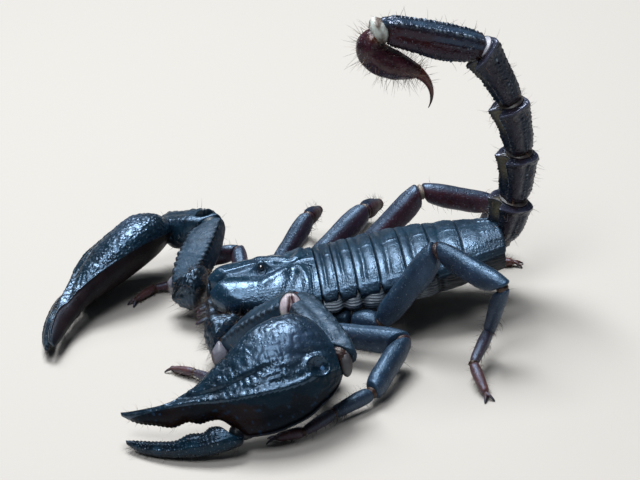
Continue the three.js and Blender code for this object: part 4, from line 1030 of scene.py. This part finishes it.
def hand(key, place):
    root, forward, inward, dorsal = place
    left = key == "left"
    t, phi = np.linspace(0, 1, 270)[:, None], turns(240)
    u = 0.2 + (HAND_LENGTH - 0.2) * (0.45 * t + 0.55 * (1 - np.cos(np.pi * t)) / 2)
    inner, outer, depth, arch, keel, groove, border = (
        curve(u, table)
        for table in (HAND_INNER, HAND_OUTER, HAND_DEPTH, HAND_ARCH, HAND_KEEL, HAND_GROOVE, HAND_INSIDE))
    x, y = squarish(phi, HAND_POWER)
    middle = (inner + outer) / 2
    v = middle + x * (inner - outer) / 2
    upper = smoothstep(y, 0.0, 0.35)
    w = y * depth - upper * smoothstep(keel - v, 0.1, 3.2) * depth * 0.42
    w = w + upper * 0.34 * bell(v, keel, 0.55) * smoothstep(u, 1.5, 5) * (1 - 0.5 * smoothstep(u, 24, 31))
    w = w - upper * 0.42 * bell(v, groove, 0.5) * smoothstep(u, 7.5, 12.0) * (1 - smoothstep(u, 21, 27))
    w = w + upper * 0.55 * bell(u, 5.4, 3.4) * bell(v, 4.2, 2.4)
    w = w + upper * 0.35 * bell(np.hypot(u - 2.9, v + 1.4), 1.5, 0.4)
    w = w - upper * 1.1 * bell(u, 2.9, 1.0) * bell(v, -1.4, 0.9)
    w = w - upper * 0.5 * bell(u, 3.9, 1.6) * bell(v, 0.9, 0.55)
    degrees = (np.degrees(phi) + 150) % 360 - 150
    edge = bell(degrees, border, 5.0) * smoothstep(u, 1, 5)
    w = w + 0.12 * edge * np.sin(phi)
    v = v + 0.16 * edge * (0.7 + 0.3 * noise_at(u * 1.6, 0, 0, 1.0, 3))
    biting = bell(past(phi, 180), 0, 26.0) * smoothstep(u, 18.5, 20)
    v = v - 0.16 * biting * np.abs(np.sin(u * 5.2)) * (1 - smoothstep(u, 31, HAND_LENGTH))
    flat = placed(place, u, v, arch + w)
    out = units(flat - placed(place, u, middle, arch))
    inside = 1 - smoothstep(degrees, border - 4, border + 3)
    uneven = (1 - smoothstep(u, 11, 18)) * (1.3 + 0.8 * noise_at(u, v, 0, 1.2, 44))

    def side_faces(below):
        """1 on the hand's inner and outer sides, the outer from where below, a distance past the keel, is 0."""
        outside = np.clip(smoothstep(below, 0.1, 0.7) + 1 - upper, 0, 1)
        outside = outside * (1 - smoothstep(v, keel + 0.5, keel + 1.0)) * (degrees > 60)
        return np.clip(np.maximum(inside, np.maximum(outside, (degrees > 172).astype(float))), 0, 1)

    dull, plain = side_faces(keel - v), side_faces(keel - v - uneven)
    rough = (1 - 0.9 * plain) * (1 - 0.4 * smoothstep(u, 20, 30))
    local = np.stack([u + 0 * v, v, w], -1)
    net = np.abs(noise(local * [0.85, 1, 1], 0.8, 6)) * 0.17 + noise(local, 0.45, 16) * 0.035
    relief = net * (0.9 if left else 0.5) + grains(local, 0.6, 12) * 0.09 * (0.35 if left else 1.2)
    flat = flat + out * (relief * rough + 0.02 * noise(local, 1.6, 5))[..., None]
    flat[..., 2] = np.maximum(flat[..., 2], 0.0)
    # Painted highlight: the hand's upper bulge is tinted a lighter lilac-slate, broken by the net's dark lines.
    bulge = bell(u, 6.0, 4.2) * bell(v, 3.2, 3.0) * upper
    tint = blend(BLACK_BLUE * 0.8, TEAL * 0.9, 0.5 + 0.5 * noise(local, 2.2, 7))
    tint = blend(tint, SLATE * [1.5, 1.2, 1.2], 0.75 * bulge * (1 - smoothstep(-net, -0.01, 0.02)))
    if left:
        face = blend([0.0028, 0.0024, 0.0032], BROWN * 0.6, smoothstep(noise(local, 3.5, 4), -0.2, 0.9))
        face = blend(face, SLATE * 0.9, 0.9 * smoothstep(noise(local, 0.5, 41), 0.45, 0.65))
    else:
        face = blend([0.011, 0.0065, 0.007], BROWN * 0.5, smoothstep(noise(local, 2.5, 4), -0.2, 0.9))
    tint = blend(blend(tint, face, 0.95 * plain), BLACK_BLUE * 0.5, smoothstep(u, 27, HAND_LENGTH) * 0.6)
    gloss = 0.45 + 0.2 * rough - 0.2 * inside - 0.25 * bulge
    # A small knob in the wrist pit, tinted very bright (SLATE * 7): a painted glint.
    knob = blob(root + 2.6 * forward - 1.55 * inward + 2.35 * dorsal, [dorsal, forward, inward],
                [0.5, 0.4, 0.55], 16, 20)
    tubes(f"hand_{key}", [flat, knob], CLAW, [f"pincer_{key}_hand"], [tint, SLATE * 7], [gloss, 0.9],
          CLAW_SIDE, [dull, 0.0])
    patch = 80 if left else 84
    bristles_on(flat, 34, (0.6, 1.6), 0.02, SOOT, patch, (0.3, 0.95), angles=(150, 330))
    bristles_on(flat, 16, (0.6, 1.5), 0.018, (0.25, 0.16, 0.09), patch + 1, (0.35, 0.95), angles=(0, 60))


def movable_finger(key, place, closing):
    t, phi = np.linspace(0, 1, 160)[:, None], turns(120)
    u = FINGER_LENGTH * (0.5 * t + 0.5 * (1 - np.cos(np.pi * t)) / 2)
    shift = u * math.tan(math.radians(closing))
    inner, outer, depth = curve(u, FINGER_INNER) + shift, curve(u, FINGER_OUTER) + shift, curve(u, FINGER_DEPTH)
    x, y = squarish(phi, HAND_POWER)
    dome = rounded(u + 0.02, 0.7, 0.01)
    half = (inner - outer) / 2
    v = (inner + outer) / 2 + x * half * dome
    stretch = smoothstep(u, 1, 3) * (1 - smoothstep(u, 11, 15))
    keels = sum(height * bell(past(phi, angle), 0, 9.0) * stretch
                for angle, height in ((110, 0.16), (65, 0.12)))
    w = y * (depth * dome + keels)
    teeth = bell(past(phi, 0), 0, 24.0) * smoothstep(u, 1.0, 2.5) * (1 - smoothstep(u, 14, FINGER_LENGTH))
    v = v + 0.15 * teeth * np.abs(np.sin(u * 5.6))
    slant = 0.75 * np.maximum(0, 1 - u / 4) * x * half
    local = np.stack([u + 0 * v, v, w], -1)
    flat = placed(place, FINGER_AT - 0.5 * (1 - smoothstep(u, 0, 3)) + u + slant, v,
                  curve(u + FINGER_AT, HAND_ARCH) + w)
    flat = flat + place[3] * (0.05 * noise(local, 0.8, 3) + 0.05 * grains(local, 0.55, 2))[..., None]
    flat[..., 2] = np.maximum(flat[..., 2], 0.0)
    tint = blend(BLACK_BLUE * 0.8, TEAL * 0.8, smoothstep(noise(local, 1.4, 17), 0.0, 0.6))
    tint = blend(tint, BROWN * 0.5, 0.8 * smoothstep(-np.sin(phi), -0.2, 0.6))
    tubes(f"movable_finger_{key}", [flat], FINGER, [f"pincer_{key}_movable_finger"], [tint], [0.55])
    bristles_on(flat, 70, (0.6, 1.6), 0.022, SOOT, 82 if key == "left" else 86, (0.1, 0.97), angles=(150, 330))


# An arm's three segments: name, width, depth, taper, keels, roughness and its size, ends, seed, and the depth
# and size of its grains.
ARM_SEGMENTS = [
    ("trochanter", 5.8, 6.4, [(0, 0.68, 0.58), (0.25, 0.95, 0.92), (0.65, 1.0, 1.0), (1, 0.7, 0.68)],
     [(60, 0.28, 8, 7, 0.15, 0.9), (120, 0.28, 8, 7, 0.15, 0.9), (0, 0.25, 9, 6, 0.15, 0.9),
      (200, 0.2, 9, 6, 0.15, 0.9)], 0.14, 0.75, (0.08, 0.1), 70, 0.26, 0.55),
    ("femur", 5.0, 4.8, [(0, 0.68, 0.72), (0.18, 0.92, 0.92), (0.8, 1.0, 1.0), (1, 0.78, 0.8)],
     [(46, 0.6, 8, 13, 0.08, 0.93), (134, 0.6, 8, 13, 0.08, 0.93), (312, 0.34, 5, 15, 0.08, 0.93),
      (228, 0.25, 6, 12, 0.08, 0.93)], 0.05, 0.7, (0.05, 0.05), 71, 0.05, 0.45),
    ("patella", 5.4, 5.6,
     [(0, 0.66, 0.66), (0.2, 0.95, 0.94), (0.55, 1.02, 1.03), (0.78, 0.98, 0.98), (1, 0.66, 0.64)],
     [(50, 0.34, 7, 11, 0.08, 0.9), (130, 0.34, 7, 11, 0.08, 0.9), (310, 0.26, 7, 10, 0.1, 0.9),
      (180, 0.26, 8, 8, 0.1, 0.85), (90, -0.22, 16, 0, 0.1, 0.9)], 0.06, 0.9, (0.05, 0.05), 72, 0.09, 0.6),
]
ARM_GLOSS = {"left": (0.55, 0.35, 0.15), "right": (0.55, 0.0, 0.5)}
ARM_ROWS, ARM_SIDES = 110, 96


def arm(side, key, joints, directions):
    """The pincer's trochanter, femur and patella."""
    before = [joints[0] - pincer_coxa_root(side)] + directions
    grids = []
    for i, segment in enumerate(ARM_SEGMENTS):
        name, width, depth, taper, keels, rough, rough_size, ends, seed, grain, size = segment
        grid = limb(joints[i], directions[i], PINCERS[key]["coxa" if i == 0 else name][0], width, depth, taper,
                    before=before[i], after=directions[i + 1], power=2.9, rows=ARM_ROWS, sides=ARM_SIDES,
                    keels=keels, rough=rough, rough_size=rough_size, ends=ends, seed=seed)
        points, t, phi, bump = grid
        crest = 1.0 if name == "trochanter" else np.clip(np.sin(phi) * 1.4, 0, 1)
        out = units(points - points.mean(axis=1, keepdims=True))
        fade = np.sqrt(np.clip(4 * t * (1 - t), 0, 1))
        points += (grains(points, size, 33) * grain * (0.6 + 0.4 * noise(points, 1.5, 8)) * crest
                   * fade)[..., None] * out
        tint = blend(BLACK_BLUE, TEAL * 1.1, 0.5 + 0.5 * noise(points, 2.4, 15))
        if name == "femur":
            tint = blend(tint, SLATE * 1.15, 0.6 * (1 - np.clip(np.abs(np.sin(phi)) * 1.2, 0, 1)))
        tint = blend(tint, BROWN * 0.6, 0.6 * smoothstep(-np.sin(phi), 0.1, 0.8))
        if name == "trochanter":
            tint = tint * 0.35
        on_keel = smoothstep(bump, 0.05, 0.16)
        upturned = name == ("patella" if side > 0 else "femur")
        tubes(f"{name}_{key}_shell", [points], ARM if upturned else CLAW, [f"pincer_{key}_{name}"],
              [blend(tint, BLACK_BLUE * 0.2, 0.97 * on_keel)],
              [ARM_GLOSS[key][i] - (0.5 if name == "femur" else 0.2) * on_keel])
        grids.append(grid)
    return grids


def arm_skins(side, key, joints, directions, place):
    """The soft skins in a pincer's joints, and the pale knobs that show on its near side."""
    root, forward, inward, dorsal = place
    hinge = blob(root + 15.6 * forward - 6.3 * inward + 0.9 * dorsal, [forward, inward, dorsal],
                 [2.4, 1.5, 1.3], wrinkle=0.02)
    skins = [joint_skin(joints[1], directions[0], directions[1], 3.5, 3.5, thick=1.3),
             joint_skin(joints[2], directions[1], directions[2], 3.9, 3.9, thick=1.6),
             joint_skin(joints[3], directions[2], directions[3], 3.7, 3.6, thick=1.2),
             hinge + (0.18 * noise(hinge, 0.9, 4))[..., None] * dorsal]
    near = np.array([side * 0.93, 0.0, 0.37])
    axes = [square_to(near, UP), np.array([0, 1.0, 0]), near]

    def knob(centre, radii, rows):
        grid = blob(centre, axes, radii, rows, rows)
        return grid, (grid - centre) @ axes[0], (grid - centre) @ axes[1]

    arch, level, aside = knob(joints[2] + [side * 2.0, -0.85, 0.85], [2.35, 1.8, 1.5 if side > 0 else 0.7], 60)
    arch -= (0.18 * bell(aside, -0.42 + 0.1 * level, 0.2) + 0.18 * bell(aside, 0.42, 0.2))[..., None] * near
    slots = bell(aside, -0.42 + 0.22 * level, 0.21) + bell(aside, 0.42, 0.21)
    slots = slots * smoothstep(level, -0.7, -0.2) * (1 - smoothstep(level, 1.5, 2.1))
    pale = blend([0.40, 0.355, 0.40], [0.38, 0.42, 0.36], smoothstep(level, 0.0, -1.2))
    pale = blend(pale, [0.03, 0.004, 0.009], np.clip(slots * 2.2, 0, 1))
    pale = blend(pale, BLACK_BLUE, smoothstep(np.hypot(level / 2.35, aside / 1.8), 0.84, 0.97))
    condyle, lift, aside = knob(joints[1] + [side * 1.7, -1.5, -0.55], [2.15, 1.4, 1.3], 50)
    condyle -= (0.5 * smoothstep(lift, 0.2, 2.2) * aside)[..., None] * axes[1]
    aside = aside * (1 - 0.5 * smoothstep(lift, 0.2, 2.2))
    # The pale knob is lighter on top and darker underneath: painted light and shade.
    grey_with_painted_shade = blend([0.13, 0.135, 0.17], [0.03, 0.026, 0.04], smoothstep(-lift, 0.0, 2.0))
    grey_with_painted_shade = blend(grey_with_painted_shade, MAROON * 0.5, smoothstep(np.abs(aside), 0.9, 1.35))
    wrist, _, aside = knob(joints[3] + [side * 0.9, 0.75, -0.55], [2.1, 0.95, 1.2], 40)
    grey_and_glint = blend([0.05, 0.052, 0.06], BROWN * 0.9, smoothstep(np.abs(aside), 0.35, 0.9))
    colours = [BROWN, MAROON * 0.8, MAROON * 0.35, BLACK_BLUE, pale, grey_with_painted_shade, grey_and_glint]
    if side < 0:
        colours[1] = colours[4] = TEAL
    skins += [arch, condyle, wrist]
    for skin in skins:
        skin[..., 2] = np.maximum(skin[..., 2], 0.0)
    tubes(f"pincer_{key}_joint_skin", skins, SOFT, (), colours)


def pincer(side, key):
    pose = PINCERS[key]
    parts = [pose["coxa"], pose["femur"], pose["patella"]]
    directions = [aim(side, heading, pitch) for _, heading, pitch in parts] + [aim(side, *pose["hand"][:2])]
    joints = [np.array(pose["root"], float)]
    for (length, *_), direction in zip(parts, directions):
        joints.append(joints[-1] + length * direction)
    trochanter, femur, patella = arm(side, key, joints, directions)
    patch, dark = (90 if key == "left" else 96), (0.016, 0.010, 0.008)
    bristles_on(trochanter, 260, (0.7, 2.1), 0.022, dark, patch, (0.1, 0.95), lean=0.3, spread_out=0.4)
    bristles_on(trochanter, 50, (0.6, 1.6), 0.02, (0.18, 0.10, 0.055), patch + 1, (0.1, 0.95), lean=0.3,
                spread_out=0.4)
    bristles_on(femur, 50, (0.6, 1.7), 0.024, dark, patch + 2, (0.08, 0.95), lean=0.2,
                angle_steps=(48, 132, 228, 312))
    bristles_on(patella, 40, (0.6, 1.7), 0.024, dark, patch + 3, (0.08, 0.95), lean=0.2)
    place = hand_frame(side, joints[3], *pose["hand"])
    hand(key, place)
    movable_finger(key, place, pose["closing"])
    arm_skins(side, key, joints, directions, place)


# ---- tail ----

# Keels on one side of a ring: angle, height, width in degrees, teeth, from and to. The other side mirrors them.
RING_KEELS = [(62, 0.24, 4.5, 15, 0.08, 0.97), (-5, 0.22, 4.5, 14, 0.12, 0.92),
              (-48, 0.17, 4.5, 13, 0.08, 0.95), (-78, 0.15, 4.5, 13, 0.08, 0.95)]
LAST_KEELS = [(58, 0.20, 4.5, 24, 0.05, 0.97), (2, 0.22, 4.5, 22, 0.06, 0.55), (-42, 0.40, 4.5, 22, 0.04, 0.97),
              (-88, 0.26, 4.5, 22, 0.04, 0.98)]
RING_TAPER = [(0, 0.60, 0.62), (0.08, 0.70, 0.72), (0.25, 0.86, 0.85), (0.6, 0.94, 0.93), (0.84, 0.99, 0.99),
              (0.93, 1.08, 1.07), (0.98, 1.05, 1.04), (1, 0.93, 0.94)]
LAST_TAPER = [(0, 0.72, 0.7), (0.1, 0.88, 0.86), (0.35, 1.0, 1.0), (0.75, 0.98, 0.96), (0.93, 0.9, 0.9),
              (1, 0.78, 0.8)]
RING_TWIST = math.radians(14)
DARK_HAIR, GOLD_HAIR = (0.012, 0.008, 0.006), (0.20, 0.11, 0.05)


def tail_ring(i, joint, direction, back, after):
    length, width, depth = TAIL[i][:3]
    last = i == 4
    sunk = 0.5 if i else 0.0
    keels = [(a, *rest) for angle, *rest in (LAST_KEELS if last else RING_KEELS) for a in (angle, 180 - angle)]
    taper = LAST_TAPER if last else RING_TAPER
    points, t, phi, bump = limb(joint - sunk * direction, direction, length + sunk, width, depth, taper,
                                top=back, after=after, power=3.2, rows=150, sides=110, keels=keels, rough=0.04,
                                rough_size=0.5, ends=(0.05, 0.03), seed=50 + i)
    degrees, across = np.degrees(phi), np.cross(direction, back)
    furrow = bell(degrees, 90, 17) * (0.45 if last else 0.95) * smoothstep(t, 0.05, 0.3)
    points -= (furrow * (1 - 0.3 * smoothstep(t, 0.92, 1)))[..., None] * back
    for angle, inward in ((0, -1), (180, 1)):
        hollow = 0.25 * bell(past(phi, angle), 0, 17) * smoothstep(t, 0.1, 0.25)
        hollow = hollow * (1 - smoothstep(t, 0.85, 0.97))
        points += (inward * hollow)[..., None] * across
    below = np.clip(-np.sin(phi), 0, 1) ** 2
    if last:
        lip = below * smoothstep(t, 0.9, 1.0) * (1.7 + 0.5 * noise(points, 0.6, 5))
        points += lip[..., None] * direction + (0.35 * lip)[..., None] * back
        points += (0.55 * bell(t, 0.42, 0.25) * np.clip(np.sin(phi), 0, 1))[..., None] * back
    else:
        corner = (bell(degrees, 62, 11) + bell(degrees, 118, 11)) * smoothstep(t, 0.4, 0.95)
        points += (0.75 * corner * (1 - smoothstep(t, 0.965, 1.0))
                   + 0.5 * below * smoothstep(t, 0.84, 1.0))[..., None] * back
    out = np.cos(phi)[..., None] * across + np.sin(phi)[..., None] * back
    fade = np.sqrt(np.clip(4 * t * (1 - t), 0, 1))
    points += (grains(points, 0.45, 61 + i) * (0.03 + 0.08 * smoothstep(bump, 0.02, 0.1))
               * fade)[..., None] * out
    tint = blend([0.0022, 0.0024, 0.0048], SLATE * 0.25, 0.5 + 0.5 * noise(points, 1.8, 77))
    tint = blend(tint, [0.0105, 0.0032, 0.0045], 0.9 * bell(degrees, 30, 20))
    if not last:
        tint = blend(tint, [0.15, 0.13, 0.07], 0.85 * bell(degrees, 98, 15) * smoothstep(t, 0.35, 0.7))
    tint = blend(tint, BROWN * 0.8, 0.8 * (1 - smoothstep(t, 0.06, 0.16)))
    # A lighter bluish band round each ring's distal rim: a painted highlight.
    tint = blend(tint, [0.05, 0.055, 0.09], (0.2 if last else 0.75) * bell(t, 0.965, 0.018))
    # Painted glints: pale blue-grey patches on the keels' beads.
    grey_and_glint = 0.8 * smoothstep(bump, 0.09, 0.18) * smoothstep(noise(points, 0.5, 9), 0.0, 0.4)
    tint = blend(tint, [0.22, 0.29, 0.36], grey_and_glint)
    if last:
        face = np.maximum(bell(degrees, 10, 28), bell(degrees, 170, 28)) + bell(degrees, 345, 18)
        tint = blend(tint, MAROON * 0.6, 0.9 * np.clip(face, 0, 1) * (0.4 + 0.6 * smoothstep(t, 0.15, 0.6)))
        # A lighter slate strip on one side of the proximal half: a painted sheen.
        tint = blend(tint, SLATE * 1.2, 0.85 * bell(degrees, 347, 11) * (1 - smoothstep(t, 0.45, 0.65)))
        # A steel-blue band on each side between two keels: a painted reflection of the sky.
        painted_sky_reflection = np.clip(bell(degrees, 302, 20) + bell(degrees, 238, 20), 0, 1)
        tint = blend(tint, [0.03, 0.058, 0.10], 0.8 * painted_sky_reflection * (0.7 + 0.3 * noise(points, 0.8, 4)))
    tubes(f"tail_ring_{i + 1}", [points], TAIL_SKIN, [f"metasoma_{i + 1}"], [tint],
          [0.5 + 0.4 * bell(t, 0.97, 0.03)])
    bristles_on(points, 90 if last else 46, (0.7, 1.9), 0.024, DARK_HAIR, 110 + 2 * i, (0.1, 0.97), lean=0.15,
                bend=0.15, angle_steps=(62, 118, 30, 150, 322, 218, 288, 252))
    bristles_on(points, 14, (0.8, 2.0), 0.02, GOLD_HAIR, 111 + 2 * i, (0.1, 0.97), lean=0.15, bend=0.15)


def venom_bulb(hinge):
    stations, phi = np.linspace(0, 1, 120), turns(110)[0]
    keys = np.linspace(0, 1, len(BULB))
    rings = []
    for s, p, o, w, d in zip(stations, *(curve(stations, list(zip(keys, column))) for column in zip(*BULB))):
        course = tail_aim(p, BULB_LEAN)
        belly = square_to(course, tail_aim(p - 90, BULB_LEAN))
        dome = rounded(s, 0.05, 0.01) * rounded(1 - s, 0.03, 0.3)
        ridge = 1 + 0.035 * np.cos(6 * phi) * math.sin(math.pi * s)
        x, y = np.cos(phi) * w / 2 * dome * ridge, (1 + np.sin(phi) * dome * ridge) * d / 2
        rings.append(hinge + o * course + x[:, None] * np.cross(course, belly) + y[:, None] * belly)
    bulb = np.stack(rings)
    bulb = bulb + (0.05 * noise(bulb, 0.9, 90))[..., None] * unit([0.3, 0.2, -1])
    t = np.broadcast_to(stations[:, None], bulb.shape[:2])
    tint = blend([0.038, 0.007, 0.013], BLACK_BLUE * 0.9, 0.3 + 0.3 * noise(bulb, 1.5, 92))
    tint = blend(tint, ORANGE * 0.4, 0.8 * bell(t, 0.15, 0.06) * smoothstep(noise(bulb, 1.3, 8), -0.4, 0.3))
    tint = blend(tint, [0.06, 0.016, 0.012], smoothstep(t, 0.75, 1.0) * 0.8)
    tubes("venom_bulb", [bulb], STING_SKIN, ["vesicle"], [tint], [0.55])
    bristles_on(bulb, 250, (1.0, 3.0), 0.028, DARK_HAIR, 122, (0.15, 0.97), lean=0.1, bend=0.15)
    bristles_on(bulb, 60, (1.0, 2.6), 0.024, GOLD_HAIR, 123, (0.15, 0.97), lean=0.1, bend=0.15)


def sting(hinge):
    end_pitch, end_past, _, end_deep = BULB[-1]
    course = tail_aim(end_pitch, BULB_LEAN)
    belly = square_to(course, tail_aim(end_pitch - 90, BULB_LEAN))
    centre = hinge + course * (end_past + GAP - 0.45) + belly * end_deep / 2
    steps, phi, rings = 90, turns(110)[0], []
    for s in np.linspace(0, 1, steps):
        bend = tail_aim(318 - 78 * s**1.2, BULB_LEAN)
        upward = square_to(bend, belly)
        radius = (STING_RADIUS + (STING_TIP_RADIUS - STING_RADIUS) * s**0.72) * (0.8 + 0.2 * min(s / 0.06, 1))
        across = np.cross(bend, upward)
        rings.append(centre + radius * (np.cos(phi)[:, None] * across + np.sin(phi)[:, None] * upward))
        centre = centre + bend * STING_LENGTH / steps
    spike = np.stack(rings)
    t = np.broadcast_to(np.linspace(0, 1, steps)[:, None], spike.shape[:2])
    tint = blend([0.075, 0.018, 0.012], [0.008, 0.005, 0.005], smoothstep(t, 0.35, 0.95))
    tubes("sting_spike", [spike], STING_SKIN, ["aculeus"], [tint], [0.75])
    bristles_on(spike, 26, (0.8, 2.0), 0.022, DARK_HAIR, 124, (0.03, 0.4), lean=0.2, bend=0.2)


def tail():
    directions = [tail_aim(pitch, lean) for *_, pitch, lean in TAIL]
    joints = [np.array(TAIL_ROOT, float)]
    for (length, *_), direction in zip(TAIL, directions):
        joints.append(joints[-1] + length * direction)
    backs = []
    for i, (*_, pitch, lean) in enumerate(TAIL):
        back, twist = square_to(directions[i], tail_aim(pitch + 90, lean)), (0 if i == 4 else RING_TWIST)
        backs.append(back * math.cos(twist) + np.cross(directions[i], back) * math.sin(twist))
        tail_ring(i, joints[i], directions[i], backs[i], directions[i + 1] if i < 4 else None)
    skins, colours = [], []
    for i in range(1, 5):
        width, depth = (0.80 * size for size in TAIL[i - 1][1:3])
        skins.append(joint_skin(joints[i] - 0.1 * directions[i - 1], directions[i - 1], directions[i], width,
                                depth, top=backs[i], thick=0.7 if i == 4 else 0.5))
        colours.append([0.30, 0.31, 0.36] if i == 4
                       else blend(GREY * 0.35, BROWN, 0.5 + 0.5 * noise(skins[-1], 1.0, 3)))
    skins.append(joint_skin(joints[0] + directions[0] * 0.3, [0, 1.0, 0.1], directions[0], 4.3, 3.7,
                            top=backs[0], thick=1.4))
    colours.append(GREY * 0.5)
    hinge = joints[5] + backs[4] * 1.9 + directions[4] * 0.35 + np.array([0, 0.4, -0.25])
    venom_bulb(hinge)
    sting(hinge)
    neck = joint_skin(joints[5] + directions[4] * 0.95 + backs[4] * 0.35, tail_aim(190, -4), tail_aim(215, -4),
                      3.4, 4.3, top=backs[4], thick=1.3)
    neck = neck + (0.2 * noise(neck, 1.1, 5) + 0.06 * noise(neck, 0.35, 6))[..., None] * unit([0.9, 0.2, 0.4])
    patchy = noise(neck @ np.array([[1, 0, 0], [0, 0.8, 0.6], [0, -0.25, 0.35]]), 1.0, 7)
    skins.append(neck)
    colours.append(blend([0.40, 0.44, 0.42], [0.05, 0.022, 0.014], 0.9 * smoothstep(patchy, 0.05, 0.3)))
    tubes("tail_joint_skin", skins, SOFT, (), colours)


# ---- the whole animal ----

carapace()
for plate in range(1, 8):
    tergite(plate)
trunk_points = trunk()
eyes()
chelicerae()
fore_underside()
combs()
for side, key in SIDES:
    pincer(side, key)
    for number in range(4):
        leg(side, key, number)
tail()
bristles_on(trunk_points, 70, (0.5, 1.3), 0.02, (0.20, 0.16, 0.12), 126, (0.3, 0.95), angles=(200, 340),
            lean=0.2)
grow_bristles()
